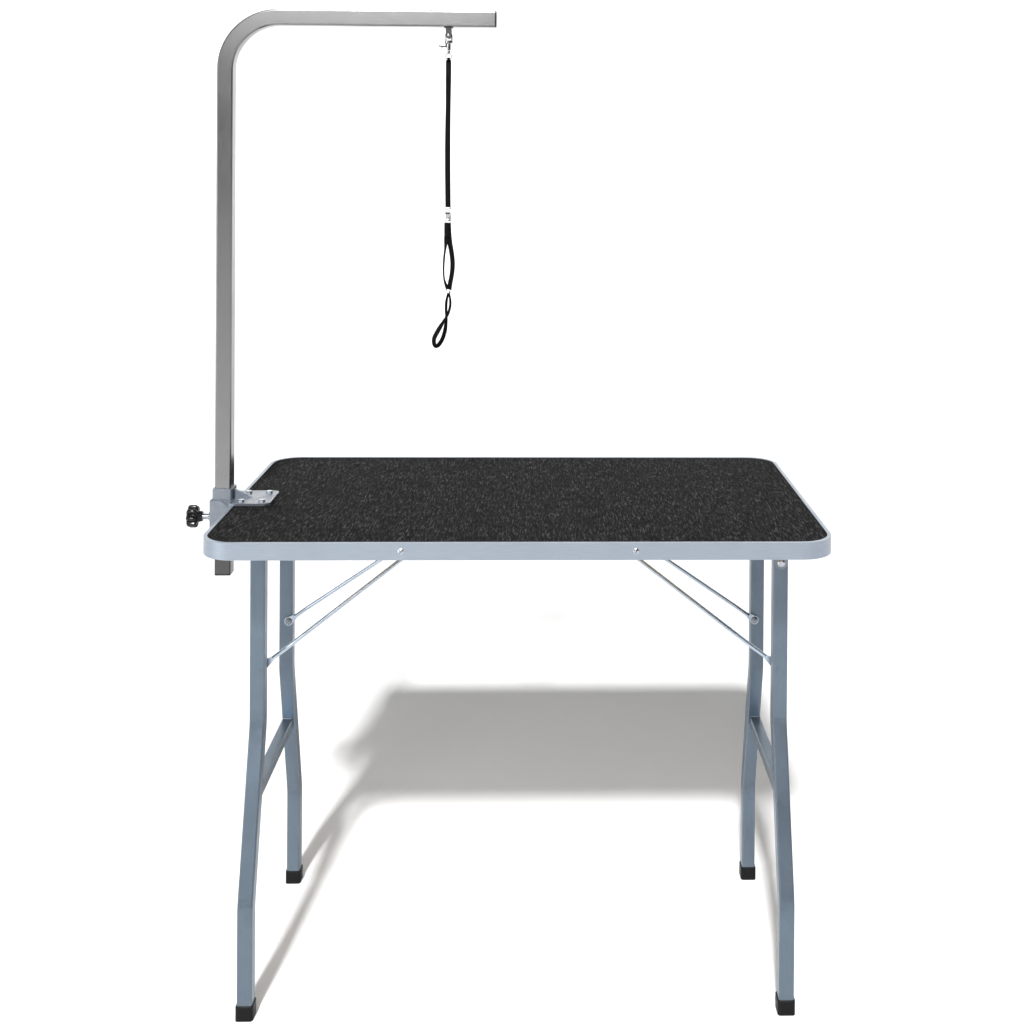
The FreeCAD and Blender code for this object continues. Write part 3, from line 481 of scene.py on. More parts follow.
@dataclass(frozen=True)
class CastMetal(Finish):
    """Zinc-coated metal with a fine sandy grain and duller patches.

    Attributes:
        grain: scale of the grain.
        depth: depth of the grain, in metres.
        patches: scale of the patches.
    """

    grain: float = 900.0
    depth: float = 0.00006
    patches: float = 45.0

    def dress(self, shader: Shader) -> None:
        """Grain and patches.

        Args:
            shader: the material's nodes.
        """
        sand = shader.noise(self.grain, detail=3.0, rough=0.7)
        patch = shader.noise(self.patches, detail=4.0, rough=0.6)
        shader.feed("Base Color", shader.mix(shader.span(patch, 0.0, 1.0, 0.35, 0.7), self.shade(1.06),
                                             self.shade(0.84)))
        shader.feed("Roughness", shader.span(patch, self.rough * 0.7, self.rough * 1.35, 0.3, 0.7))
        shader.relief(sand, self.depth, 0.5)


@dataclass(frozen=True)
class Moulded(Finish):
    """Moulded plastic or rubber with a faint grain and scuffs.

    Attributes:
        grain: scale of the grain.
        gloss: how strongly it reflects.
        scuffs: scale of the scuffs.
        scuffed: the scuffs' shade.
    """

    grain: float = 1400.0
    gloss: float = 0.3
    scuffs: float = 120.0
    scuffed: float = 3.0

    def dress(self, shader: Shader) -> None:
        """Grain and scuffs.

        Args:
            shader: the material's nodes.
        """
        skin = shader.noise(self.grain, detail=2.0)
        scuff = shader.noise(self.scuffs, (1.0, 1.0, 0.3), 5.0, 0.75)
        shader.feed("Base Color", shader.mix(shader.span(scuff, 0.0, 0.5, 0.6, 0.8), self.colour,
                                             self.shade(self.scuffed)))
        shader.feed("Roughness", shader.span(scuff, self.rough * 0.8, min(1.0, self.rough * 1.5), 0.4, 0.7))
        shader.uniform(Specular_IOR_Level=self.gloss)
        shader.relief(skin, 0.00008, 0.4)


@dataclass(frozen=True)
class Plywood(Finish):
    """Birch plywood seen from below: long grain and darker pores.

    Attributes:
        grain: how close the bands of the grain are.
        pores: scale of the pores.
        pale: shade between the bands.
        dark: shade of the bands.
        pore_shade: shade of the pores.
    """

    grain: float = 20.0
    pores: float = 700.0
    pale: float = 1.05
    dark: float = 0.84
    pore_shade: float = 0.45

    def dress(self, shader: Shader) -> None:
        """Grain and pores.

        Args:
            shader: the material's nodes.
        """
        warp = shader.noise(5, (0.25, 1.6, 1.0))
        rings = shader.bands("Y", shader.place((0.12, 1.0, 1.0)), self.grain, 3.0, Detail=3.0, Detail_Scale=2.2)
        pores = shader.noise(self.pores, (0.03, 1.0, 1.0), 2.0)
        tone = shader.mix(rings * 0.5 + warp * 0.4, self.shade(self.pale), self.shade(self.dark))
        shader.feed("Base Color", shader.mix(shader.span(pores, 0.0, 0.6, 0.6, 0.75), tone,
                                             self.shade(self.pore_shade)))
        shader.feed("Roughness", shader.span(pores, 0.5, 0.75))
        shader.relief(pores, 0.0001, 0.4)


@dataclass(frozen=True)
class Webbing(Finish):
    """Woven nylon: rows of slanted ribs, on the webbing's own lengthwise and crosswise coordinates.

    Attributes:
        pitch: size of the weave, in metres.
        fuzz: scale of the fuzz.
    """

    pitch: float = 0.0016
    fuzz: float = 2500.0

    def dress(self, shader: Shader) -> None:
        """Weave and fuzz.

        Args:
            shader: the material's nodes.
        """
        cloth = shader.node("ShaderNodeTexCoord", output="UV")
        cell = 1.0 / self.pitch
        rows = shader.bands("DIAGONAL", cloth, cell * 0.25, 0.6)
        ribs = shader.bands("X", cloth, cell * 0.35, 0.2)
        fuzz = shader.noise(self.fuzz, detail=2.0)
        weave = rows * 0.6 + ribs * 0.4
        shader.feed("Base Color", shader.mix(shader.span(weave * 0.7 + fuzz * 0.3, 0.0, 1.0, 0.2, 0.8),
                                             self.shade(0.5), self.shade(2.0)))
        shader.feed("Roughness", shader.span(weave, 0.85, 0.6))
        shader.relief(weave, 0.0004, 0.9)
        shader.uniform(Specular_IOR_Level=0.05)


MAT = RubberMat("mat_rubber", (0.0072, 0.0071, 0.0072), 0.8)
RIM = DrawnMetal("rim_aluminium", (0.298, 0.337, 0.395), 0.34, 0.85, along=(0.02, 0.02, 1.0), lines=0.07)
LEG = BentTube("leg_steel", (0.136, 0.173, 0.215), 0.36, 0.85, along=(1.0, 1.0, 0.03), lines=0.06)
MAST = FootShadedTube("arm_steel", (0.232, 0.232, 0.232), 0.22, 0.95, along=(1.0, 1.0, 0.02), lines=0.08)
STAY = DrawnMetal("stay_steel", (0.42, 0.48, 0.56), 0.24, 0.9, along=(0.05, 1.0, 0.05), lines=0.05)
CLAMP = CastMetal("clamp_zinc", (0.20, 0.222, 0.255), 0.32, 0.75)
RIVET = CastMetal("rivet_zinc", (0.20, 0.225, 0.25), 0.42, 0.85, grain=1500.0, depth=0.00003)
BOLT = CastMetal("bolt_zinc", (0.45, 0.48, 0.52), 0.24, 0.95, grain=2000.0, depth=0.00003)
CHROME = CastMetal("noose_chrome", (0.50, 0.50, 0.51), 0.16, 1.0, grain=1500.0, depth=0.00001)
NICKEL = CastMetal("slider_nickel", (0.82, 0.82, 0.83), 0.2, 0.9, grain=1500.0, depth=0.00001)
LEVER = CastMetal("lever_steel", (0.16, 0.16, 0.165), 0.25, 0.95, grain=1500.0, depth=0.00001)
# dark steel of the eye bracket, also used as painted shade in the screw slots and on the slider's press bar
DARK = CastMetal("eye_steel_and_slot_shade", (0.06, 0.06, 0.063), 0.35, 0.8)
WELD = CastMetal("weld_bead", (0.16, 0.19, 0.22), 0.45, 0.7, grain=500.0, depth=0.0002)
KNOB = Moulded("knob_plastic", (0.008, 0.008, 0.009), 0.20)
CAP = Moulded("cap_rubber", (0.006, 0.006, 0.0065), 0.5, grain=700.0, gloss=0.12)
BOARD = Plywood("board_plywood", (0.50, 0.37, 0.22), 0.6)
STRAP = Webbing("noose_webbing", (0.0032, 0.0032, 0.0035), 0.75)
THREAD = Webbing("seam_thread", (0.03, 0.03, 0.032), 0.7, pitch=0.0006)
PAPER = Finish("studio_white", (0.86, 0.86, 0.86), 0.9)

NODE_FINISHES: dict[str, Finish] = {
    "top_board": BOARD, "rubber_mat": MAT, "edge_rim": RIM, "leg_": LEG, "cross_tube": LEG, "foot_cap": CAP,
    "arm_tube": MAST, "beam_plug": KNOB, "mast_plug": KNOB, "clamp_knob": KNOB, "clamp_body": CLAMP,
    "clamp_screw": BOLT, "clamp_bolts": BOLT, "pressure_pad": BOLT, "hinge_bracket": CLAMP, "hinge_pins": BOLT,
    "stay_bolts": BOLT, "stay_catch": CLAMP, "stay_": STAY, "rim_screws": BOLT, "bracket_screws": BOLT,
    "catch_screws": BOLT, "noose_eye": DARK, "snap_": CHROME, "swivel_ring": CHROME, "noose_slider": CHROME,
}


def finish_of(node: str) -> Finish:
    """The finish of a CAD node: the entry with the longest name that starts the node's.

    Args:
        node: the node's name.

    Returns:
        Its finish.
    """
    fitting = [name for name in NODE_FINISHES if node.startswith(name)]
    return NODE_FINISHES[max(fitting, key=len)] if fitting else STRAP


def dress_nodes() -> None:
    """Give every CAD node its material."""
    for name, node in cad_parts.items():
        finish = finish_of(name)
        node.data.materials.clear()
        node.data.materials.append(finish.material())
        log.info("node %s: %s", name, finish.name)


# ---------------------------------------------------------------- meshes


def add_mesh(name: str, build: bmesh.types.BMesh, finish: Finish, body: str,
             smooth: bool = True) -> bpy.types.Object:
    """Turn built geometry into a piece.

    Args:
        name: the piece's name.
        build: its geometry, which is freed.
        finish: its material.
        body: the body that it rides on.
        smooth: whether its faces are smooth shaded.

    Returns:
        The piece.
    """
    bmesh.ops.recalc_face_normals(build, faces=build.faces)
    mesh = bpy.data.meshes.new(name)
    build.to_mesh(mesh)
    build.free()
    for polygon in mesh.polygons:
        polygon.use_smooth = smooth
    mesh.materials.append(finish.material())
    piece = bpy.data.objects.new(name, mesh)
    bpy.context.collection.objects.link(piece)
    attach(piece, body)
    log.info("piece %s: %s", name, finish.name)
    return piece


def strip(build: bmesh.types.BMesh, first: list[bmesh.types.BMVert], second: list[bmesh.types.BMVert]) -> None:
    """Join two rings with the same number of corners by a band of faces.

    Args:
        build: the geometry.
        first: one ring's corners.
        second: the other's.
    """
    for step in range(len(first)):
        beside = (step + 1) % len(first)
        build.faces.new((first[step], first[beside], second[beside], second[step]))


def loft(rings: list[list[Vector]]) -> bmesh.types.BMesh:
    """Join closed rings with the same number of points into a skin with closed ends.

    Args:
        rings: the rings in order.

    Returns:
        The geometry.
    """
    build = bmesh.new()
    made = [[build.verts.new(spot) for spot in ring] for ring in rings]
    for ring, following in zip(made, made[1:]):
        strip(build, ring, following)
    build.faces.new(made[0])
    build.faces.new(made[-1])
    return build


def around(count: int, spot: Callable[[float], Vector]) -> list[Vector]:
    """A ring of points that a function of the turn gives, at even turns.

    Args:
        count: how many points.
        spot: gives the point at a turn.

    Returns:
        The points.
    """
    return [spot(2 * math.pi * step / count) for step in range(count)]


def round_ring(centre: Vector, across: Vector, up: Vector, radius: float, sides: int) -> list[Vector]:
    """A ring of points round a centre, in the plane of two directions.

    Args:
        centre: the middle.
        across: one direction.
        up: the other.
        radius: in metres.
        sides: how many points.

    Returns:
        The points.
    """
    return around(sides, lambda turn: centre + across * (radius * math.cos(turn)) + up * (radius * math.sin(turn)))


def turned(start: Vector, axis: Vector, stations: Stops, sides: int = 24) -> bmesh.types.BMesh:
    """A turned form.

    Args:
        start: the axis's first point.
        axis: its direction.
        stations: distance along the axis and radius there, in metres.
        sides: points in each ring.

    Returns:
        The geometry.
    """
    across = axis.orthogonal().normalized()
    return loft([round_ring(start + axis * far, across, axis.cross(across), radius, sides) for far, radius in stations])


def heading(line: list[Vector], index: int) -> Vector:
    """The direction in which a line runs at one of its points."""
    return (line[min(index + 1, len(line) - 1)] - line[max(index - 1, 0)]).normalized()


def wire(points: list[Vector], radii: list[float], sides: int) -> bmesh.types.BMesh:
    """A round wire through points, with a radius at each point.

    Args:
        points: its line.
        radii: its radius at each point.
        sides: points in each ring.

    Returns:
        The geometry.
    """
    rings = []
    side = (points[1] - points[0]).orthogonal().normalized()
    for index, spot in enumerate(points):
        ahead = heading(points, index)
        side = (side - ahead * side.dot(ahead)).normalized()
        rings.append(round_ring(spot, side, ahead.cross(side), radii[index], sides))
    return loft(rings)


def smooth_line(name: str, route: list[Vector]) -> list[Vector]:
    """Points read from a smooth spline through the route's control points.

    Args:
        name: the spline's name.
        route: its control points.

    Returns:
        The points in order.
    """
    order, fineness = 3, 10
    curve = bpy.data.curves.new(name, "CURVE")
    curve.dimensions = "3D"
    spline = curve.splines.new("NURBS")
    spline.points.add(len(route) - 1)
    for point, spot in zip(spline.points, route):
        point.co = (*spot, 1.0)
    spline.order_u = order
    spline.use_endpoint_u = True
    spline.resolution_u = fineness
    holder = bpy.data.objects.new(name, curve)
    bpy.context.collection.objects.link(holder)
    bpy.context.view_layer.update()
    mesh = bpy.data.meshes.new_from_object(holder.evaluated_get(bpy.context.evaluated_depsgraph_get()))
    points = [vertex.co.copy() for vertex in mesh.vertices]
    bpy.data.objects.remove(holder)
    bpy.data.curves.remove(curve)
    bpy.data.meshes.remove(mesh)
    return points


@dataclass
class Tape:
    """A flat woven tape that follows a route, turned about its line as it goes.

    Attributes:
        name: the piece's name.
        route: control points of its line.
        width: its width in metres.
        thick: its thickness in metres.
        turns: pairs of share of the length and angle in degrees; 0 shows the flat face to the front.
        flare: pairs of share of the length and width there, as a share of the full width.
        line: the finished line.
    """

    name: str
    route: list[Vector]
    width: float
    thick: float
    turns: Stops
    flare: Stops = field(default_factory=lambda: [(0.0, 1.0), (1.0, 1.0)])
    line: list[Vector] = field(default_factory=list)

    @staticmethod
    def eased(stops: Stops, share: float) -> float:
        """The value at a share of the length, eased between stops.

        Args:
            stops: shares of the length and values there.
            share: the share asked for.

        Returns:
            The value.
        """
        for (low, first), (high, second) in zip(stops, stops[1:]):
            if share <= high:
                part = (share - low) / (high - low)
                return first + (second - first) * part * part * (3 - 2 * part)
        return stops[-1][1]

    def section(self) -> Stops:
        """The tape's outline when cut across, flat with rounded edges.

        Returns:
            Pairs of places across and out of the tape.
        """
        half, deep = self.width / 2, self.thick / 2
        edge, crown, lip = half - deep * 0.8, deep * 1.08, deep * 0.35
        return [(-edge, -deep), (0.0, -crown), (edge, -deep), (half, -lip), (half, lip), (edge, deep), (0.0, crown),
                (-edge, deep), (-half, lip), (-half, -lip)]

    def travel(self) -> list[float]:
        """How far along the line each of its points is, in metres."""
        return list(accumulate(((after - spot).length for spot, after in zip(self.line, self.line[1:])), initial=0.0))

    @property
    def length(self) -> float:
        """The length of the line in metres."""
        return self.travel()[-1]

    def build(self, body: str) -> bpy.types.Object:
        """Make the tape, and keep its line.

        Args:
            body: the body that it rides on.

        Returns:
            The piece.
        """
        self.line = smooth_line(f"{self.name}_line", self.route)
        travel, section = self.travel(), self.section()
        build = bmesh.new()
        uv = build.loops.layers.uv.new("UVMap")
        rings = []
        for index, spot in enumerate(self.line):
            ahead = heading(self.line, index)
            side = Vector((0, 1, 0)).cross(ahead).normalized()
            share = travel[index] / travel[-1]
            turn = Matrix.Rotation(math.radians(self.eased(self.turns, share)), 3, ahead)
            across, out = turn @ side * self.eased(self.flare, share), turn @ ahead.cross(side)
            rings.append([build.verts.new(spot + across * x + out * y) for x, y in section])
        count = len(section)
        for index, (ring, following) in enumerate(zip(rings, rings[1:])):
            for corner in range(count):
                beside = (corner + 1) % count
                face = build.faces.new((ring[corner], ring[beside], following[beside], following[corner]))
                places = ((corner, index), (corner + 1, index), (corner + 1, index + 1), (corner, index + 1))
                for loop, (step, row) in zip(face.loops, places):
                    loop[uv].uv = (travel[row], step * self.width / (count / 2))
        build.faces.new(rings[0])
        build.faces.new(rings[-1])
        log.info("tape %s: %.3f m long", self.name, travel[-1])
        return add_mesh(self.name, build, STRAP, body)


# ---------------------------------------------------------------- noose


@dataclass
class Noose:
    """The strap, its loop, the twisted tapes, the small end loop and their metal fittings.

    Attributes:
        width: width of the strap.
        thick: thickness of the strap.
        tape: width of the tape of the twist and end loop.
        crimp_at: middle of the crimp under the loop, from the slider's foot.
        crimp: half width, half depth and height of the crimp.
        slider: half width and half depth of the slider's sleeve.
        waist: shares of a sleeve's height and its girth there.
        press: the press bar's distances along its axis and radii there.
        stitch_rows: rows of stitches.
        stitch_pitch: distance between rows.
        thread: radius of the thread.
    """

    width: float = 0.0095
    thick: float = 0.0018
    tape: float = 0.0078
    crimp_at: tuple[float, float, float] = (0.0030, 0, -0.1195)
    crimp: tuple[float, float, float] = (0.0036, 0.0026, 0.0070)
    slider: tuple[float, float] = (0.0064, 0.0034)
    waist: Stops = (
        (0, 0.84), (0.05, 0.97), (0.12, 1.0), (0.19, 0.93), (0.3, 0.84), (0.5, 0.80),
        (0.7, 0.84), (0.81, 0.93), (0.88, 1.0), (0.95, 0.97), (1, 0.84))
    press: Stops = (
        (0, 0.0004), (0.0003, 0.0012), (0.0012, 0.0016), (0.0072, 0.0016), (0.0081, 0.0012), (0.0084, 0.0004))
    stitch_rows: int = 22
    stitch_pitch: float = 0.0009
    thread: float = 0.00028

    @staticmethod
    def drop(foot: Vector, *places: tuple[float, float, float]) -> list[Vector]:
        """Control points given in millimetres right of, behind and above the slider's foot."""
        return [foot + Vector(place) / MM for place in places]

    def strap(self, foot: Vector, top: Vector) -> Tape:
        """The strap from the swivel's ring through the slider and down the loop's front side to the crimp.

        Args:
            foot: the slider's foot.
            top: the foot of the swivel's ring.

        Returns:
            The tape.
        """
        long = (top - foot).length * MM
        route = self.drop(foot, (0, 0, long), (0, 0, long * 0.8), (-0.8, 0, long * 0.55), (-0.6, 0, long * 0.35),
                          (0.3, 0, 40), (0.9, 0, 14), (1.4, 0, -8), (3.4, 0, -32), (8.2, 0, -56), (9.6, 0, -76),
                          (7.6, 0, -93), (4.6, 0, -108), (3.2, 0, -118))
        turns = [(0, 0), (0.2, 22), (0.45, 0), (0.62, 8), (0.72, 15), (0.86, 28), (0.94, 34), (1, 30)]
        return Tape("strap_main", route, self.width, self.thick, turns)

    def back(self, foot: Vector) -> Tape:
        """The loop's other side, seen nearly on edge.

        Args:
            foot: the slider's foot.

        Returns:
            The tape.
        """
        route = self.drop(foot, (-1.0, 1.6, 2), (-1.2, 2.0, -12), (-2.8, 1.6, -36), (-6.2, 1.0, -62),
                          (-7.0, 0.6, -88), (-4.6, 0.6, -105), (1.6, 0.6, -118))
        turns = [(0, 10), (0.22, 28), (0.42, 72), (0.8, 76), (1, 50)]
        return Tape("strap_back", route, self.width, self.thick, turns)

    def end(self, foot: Vector) -> Tape:
        """The tape below the crimp: down, crossed over itself, round the end loop and back up.

        Args:
            foot: the slider's foot.

        Returns:
            The tape.
        """
        route = self.drop(foot, (2.6, -1.4, -121), (5.8, -1.8, -133), (5.8, -1.4, -147), (1.2, -1.0, -162),
                          (-6.5, -1.0, -174), (-15.5, -1.4, -189), (-24.0, -1.6, -205), (-20.5, -0.4, -219),
                          (-11.5, 1.0, -212), (-4.6, 1.6, -196), (-2.2, 1.8, -180), (-1.0, 1.8, -165),
                          (-2.2, 1.6, -150), (-1.2, 1.6, -134), (2.6, 1.4, -121))
        turns = [(0, 60), (0.12, 44), (0.26, 40), (0.36, 22), (0.5, 28), (0.62, 36), (0.75, 48), (0.9, 44), (1, 60)]
        flare = [(0, 0.7), (0.22, 0.74), (0.34, 1.05), (0.68, 1.05), (0.8, 0.74), (1, 0.7)]
        return Tape("end_tape", route, self.tape, self.thick * 0.85, turns, flare)

    def build(self) -> None:
        low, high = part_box("noose_slider")
        foot = Vector(((low.x + high.x) / 2, (low.y + high.y) / 2, low.z))
        top = Vector((foot.x, foot.y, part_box("swivel_ring")[0].z))
        tapes = self.strap(foot, top), self.back(foot), self.end(foot)
        pieces = [tape.build("noose") for tape in tapes]
        crimp = self.sleeve("loop_crimp", foot + Vector(self.crimp_at), self.crimp, "noose")
        slide = self.sleeve("slider_body", (low + high) / 2, (*self.slider, high.z - low.z), "slider")
        self.press_bar(low, high)
        extras = [crimp, self.fold(top), self.tail(foot), self.stitches(top)]
        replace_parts(pieces[0], "noose_strap")
        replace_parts(pieces[1], "noose_loop")
        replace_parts(pieces[2], "loop_twist", "end_loop")
        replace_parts(slide, "noose_slider")
        for piece, tape, far, going in zip(pieces, tapes, ("fitting", "object", "object"), (extras, [], [])):
            tuple(tape.line[0])
            round(tape.length, 3)
            [tuple(spot) for spot in tape.line]
            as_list(going)

    def sleeve(self, name: str, centre: Vector, size: tuple[float, float, float], body: str) -> bpy.types.Object:
        """A bright pressed sleeve round the tapes, waisted between two rolled edges.

        Args:
            name: the piece's name.
            centre: its middle.
            size: half its width, half its depth and its height.
            body: the body that it rides on.

        Returns:
            The piece.
        """
        wide, deep, tall = size

        def spot(turn: float, share: float, girth: float) -> Vector:
            """A point of the sleeve's rounded oblong."""
            across, out = math.cos(turn), math.sin(turn)
            return centre + Vector((wide * girth * math.copysign(abs(across) ** 0.5, across),
                                    deep * girth * math.copysign(abs(out) ** 0.6, out), tall * (0.5 - share)))

        rings = [around(32, lambda turn: spot(turn, share, girth)) for share, girth in self.waist]
        return add_mesh(name, loft(rings), NICKEL, body)

    def press_bar(self, low: Vector, high: Vector) -> None:
        """The slider's sprung press bar across its front, coloured dark as painted shade of its slot.

        Args:
            low: the slider's low corner.
            high: its high corner.
        """
        middle, inset, above = (low + high) / 2, 0.0004, 0.003
        start = Vector((middle.x - self.press[-1][0] / 2, low.y + inset, middle.z + above))
        # painted shade: the bar takes the dark steel so that it reads as the shadowed slot
        add_mesh("slider_press", turned(start, Vector((1, 0, 0)), self.press, 16), DARK, "slider")

    def fold(self, top: Vector) -> bpy.types.Object:
        """The strap's end folded round the ring and laid back on itself.

        Args:
            top: the foot of the swivel's ring.

        Returns:
            The piece.
        """
        low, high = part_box("swivel_ring")
        gauge, thick = (high.y - low.y) / 2, self.thick
        profile = ((thick * 1.05, -0.032), (thick * 1.05, -0.012), (gauge + thick, 0.0002), (gauge, 0.0036),
                   (-gauge, 0.0036), (-gauge - thick * 0.6, 0.0002), (-0.0004, -0.004))
        line = smooth_line("fold_line", [Vector((top.x, top.y + back, top.z + up)) for back, up in profile])
        half, deep, narrow, bend = self.width * 0.40, thick * 0.42, 0.62, top.z - 0.002
        rings = []
        for index, spot in enumerate(line):
            out = heading(line, index).cross(Vector((1, 0, 0)))
            wide = half * (narrow if spot.z > bend else 1.0)
            rings.append([spot + Vector((x, 0, 0)) + out * y
                          for x, y in ((-wide, -deep), (wide, -deep), (wide, deep), (-wide, deep))])
        return add_mesh("strap_fold", loft(rings), STRAP, "noose", smooth=False)

    def tail(self, foot: Vector) -> bpy.types.Object:
        """The short cut end of the strap that lies on the front below the slider.

        Args:
            foot: the slider's foot.

        Returns:
            The piece.
        """
        route = self.drop(foot, (-1.2, -1.6, 2), (-1.4, -2.2, -4), (-1.4, -2.3, -16), (-1.2, -2.2, -25))
        return Tape("strap_tail", route, self.width * 0.92, self.thick, [(0, 0), (0.5, 6), (1, 10)]).build("noose")

    def stitches(self, top: Vector) -> bpy.types.Object:
        """Rows of zigzag thread that sew the folded end down.

        Args:
            top: the foot of the swivel's ring.

        Returns:
            The piece.
        """
        first, proud, swell = 0.010, self.thick * 0.62, 0.0002
        points = []
        for row in range(self.stitch_rows):
            x = self.width * 0.33 * (1 if row % 2 else -1)
            for share in (0, 0.25, 0.5, 0.75):
                points.append(top + Vector((x * (1 - 2 * share), -proud - swell * math.sin(math.pi * share),
                                            -first - self.stitch_pitch * (row + share))))
        return add_mesh("strap_stitches", wire(points, [self.thread] * len(points), 6), THREAD, "noose")


# ---------------------------------------------------------------- small metal work


@dataclass
class Welds:
    """Fillet welds where each cross tube meets its legs.

    Attributes:
        radius: size of a bead.
        ripple: how much the bead swells at each ripple, as a share of its size.
        pitch: distance between ripples.
        spread: height over which a leg leans out.
        inset: how far a bead stops short of the tube's corners.
        taper: length over which a bead thins at its ends.
        count: points along a bead.
    """

    radius: float = 0.0021
    ripple: float = 0.28
    pitch: float = 0.0021
    spread: float = 0.265
    inset: float = 0.001
    taper: float = 0.0016
    count: int = 60

    def build(self) -> None:
        """Make a bead along the top and bottom edges of both ends of both cross tubes."""
        for side in SIDES:
            low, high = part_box(f"cross_tube_{side}")
            leg_low, leg_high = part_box(f"leg_{side}_rear")
            lean = (leg_high.y - leg_low.y - (leg_high.x - leg_low.x)) / self.spread
            for row, sign, reach in (("front", -1, -low.y), ("rear", 1, high.y)):
                for edge, level, back in (("top", high.z, (high.z - low.z) * lean), ("foot", low.z, 0.0)):
                    y = sign * (reach - back)
                    self.bead(f"weld_{side}_{row}_{edge}", f"{side}_leg_frame",
                              Vector((low.x + self.inset, y, level)), Vector((high.x - self.inset, y, level)))

    def bead(self, name: str, body: str, start: Vector, stop: Vector) -> None:
        """One rippled bead between two points.

        Args:
            name: the piece's name.
            body: the body that it rides on.
            start: one end.
            stop: the other.
        """
        long = (stop - start).length
        points, radii = [], []
        for step in range(self.count):
            share = step / (self.count - 1)
            far = long * share
            thin = min(1.0, 0.25 + far / self.taper, 0.25 + (long - far) / self.taper)
            points.append(start.lerp(stop, share))
            radii.append(self.radius * thin * (1 - self.ripple * abs(math.cos(math.pi * far / self.pitch))))
        add_mesh(name, wire(points, radii, 12), WELD, body)


@dataclass
class Fasteners:
    """Dark screw slots painted as shade, the stays' rivets, the clamp screw's thread and its nut.

    Attributes:
        slot_wide: width of a screw's slot.
        slot_edges: half length and depth of a slot at its floor and at its mouth.
        slot_turns: angle of each slot, in degrees.
        screws_apart: half the distance between the screws of a long side.
        thread_pitch: pitch of the clamp screw.
        thread_ridge: radius of its ridge.
        thread_clear: its distance from the knob and from the clamp.
        thread_points: points in one turn.
        rivet: radius of a stay rivet's shank.
        rivet_head: distances along a rivet's head and radii there.
        rivet_deep: length of a rivet's shank, with its head.
        rivet_end: distances along a rivet's closed end and radii there.
        rivet_sunk: how deep the closed end begins under the leg's outer face.
        rivet_in: distance of a rivet from the end of its stay.
        legs_apart: half the distance between the legs' middles.
        nut_thick: thickness of the nut.
        nut_flat: radius of the nut to its flats.
        nut_edge: chamfer of the nut.
    """

    slot_wide: float = 0.0011
    slot_edges: Stops = ((0.0036, 0.0009), (0.0030, -0.00005))
    slot_turns: tuple[float, ...] = (52, 80, 15, 120)
    screws_apart: float = 0.183
    thread_pitch: float = 0.0015
    thread_ridge: float = 0.00045
    thread_clear: tuple[float, float] = (0.0005, 0.0002)
    thread_points: int = 20
    rivet: float = 0.0040
    rivet_head: Stops = (
        (0, 0.0012), (0.0005, 0.0032), (0.0013, 0.0050), (0.0022, 0.0062), (0.0030, 0.0066))
    rivet_deep: float = 0.0072
    rivet_end: Stops = ((0, 0.0040), (0.0009, 0.0040), (0.0011, 0.0036))
    rivet_sunk: float = 0.0010
    rivet_in: float = 0.008
    legs_apart: float = 0.120
    nut_thick: float = 0.0048
    nut_flat: float = 0.0092 * 0.87
    nut_edge: float = 0.0009

    def build(self) -> None:
        """Make them all."""
        self.slots()
        for side in SIDES:
            self.rivets(side)
        self.thread()
        self.nut()

    def slots(self) -> None:
        """A dark box across each front and rear rim screw, each at its own angle, painted shade standing for its slot.
        """
        low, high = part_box("rim_screws")
        rim_low, rim_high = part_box("edge_rim")
        middle = (rim_low + rim_high) / 2
        build = bmesh.new()
        for (sign, row), angle in zip(((-1, -1), (1, -1), (-1, 1), (1, 1)), self.slot_turns):
            centre = Vector((middle.x + sign * self.screws_apart, low.y if row < 0 else high.y, middle.z))
            turn = math.radians(angle)
            along = Vector((math.cos(turn), 0, math.sin(turn)))
            wide = Vector((-along.z, 0, along.x)) * self.slot_wide / 2
            rings = []
            for half, deep in self.slot_edges:
                at = centre + Vector((0, -row * deep, 0))
                rings.append([build.verts.new(at + far + across) for far, across in
                              ((along * half, wide), (along * half, -wide), (-along * half, -wide),
                               (-along * half, wide))])
                build.faces.new(rings[-1])
            strip(build, *rings)
        # painted shade: each slot is a dark box set into the screw head, not a cut
        add_mesh("rim_screw_slot_shade", build, DARK, "table", smooth=False)

    def rivets(self, side: str) -> None:
        """Round-headed rivets that hold a frame's two stays, closed flush on the outer face.

        Args:
            side: left or right.
        """
        bolts_low, bolts_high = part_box(f"stay_bolts_{side}")
        level, pieces = (bolts_low.z + bolts_high.z) / 2, []
        for row, outward in (("front", -1), ("rear", 1)):
            low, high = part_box(f"leg_{side}_{row}")
            stay_low, stay_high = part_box(f"stay_{side}_{row}")
            x = stay_low.x + self.rivet_in if side == "left" else stay_high.x - self.rivet_in
            tube = high.x - low.x
            inner = outward * (self.legs_apart - tube / 2)
            axis = Vector((0, outward, 0))
            shank = ((self.rivet_head[-1][0] + 0.0001, self.rivet), (self.rivet_deep, self.rivet))
            head = Vector((x, inner - outward * self.rivet_deep, level))
            pieces.append(add_mesh(f"stay_rivet_{side}_{row}", turned(head, axis, (*self.rivet_head, *shank)), RIVET,
                                   f"{side}_leg_frame"))
            closed = Vector((x, inner + outward * (tube - self.rivet_sunk), level))
            add_mesh(f"rivet_end_{side}_{row}", turned(closed, axis, self.rivet_end), LEG, f"{side}_leg_frame")
        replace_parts(pieces[0], f"stay_bolts_{side}")

    def thread(self) -> None:
        """The thread of the clamp screw, a ridge wound along its bare length."""
        low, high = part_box("clamp_screw")
        radius, centre = (high.z - low.z) / 2, (low + high) / 2
        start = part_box("clamp_knob")[1].x + self.thread_clear[0]
        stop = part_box("clamp_body")[0].x - self.thread_clear[1]
        turns = (stop - start) / self.thread_pitch
        count = int(turns * self.thread_points)
        points = []
        for step in range(count):
            turn = 2 * math.pi * turns * step / (count - 1)
            points.append(Vector((start + (stop - start) * step / (count - 1), centre.y + radius * math.cos(turn),
                                  centre.z + radius * math.sin(turn))))
        add_mesh("screw_thread", wire(points, [self.thread_ridge] * count, 6), BOLT, "knob")

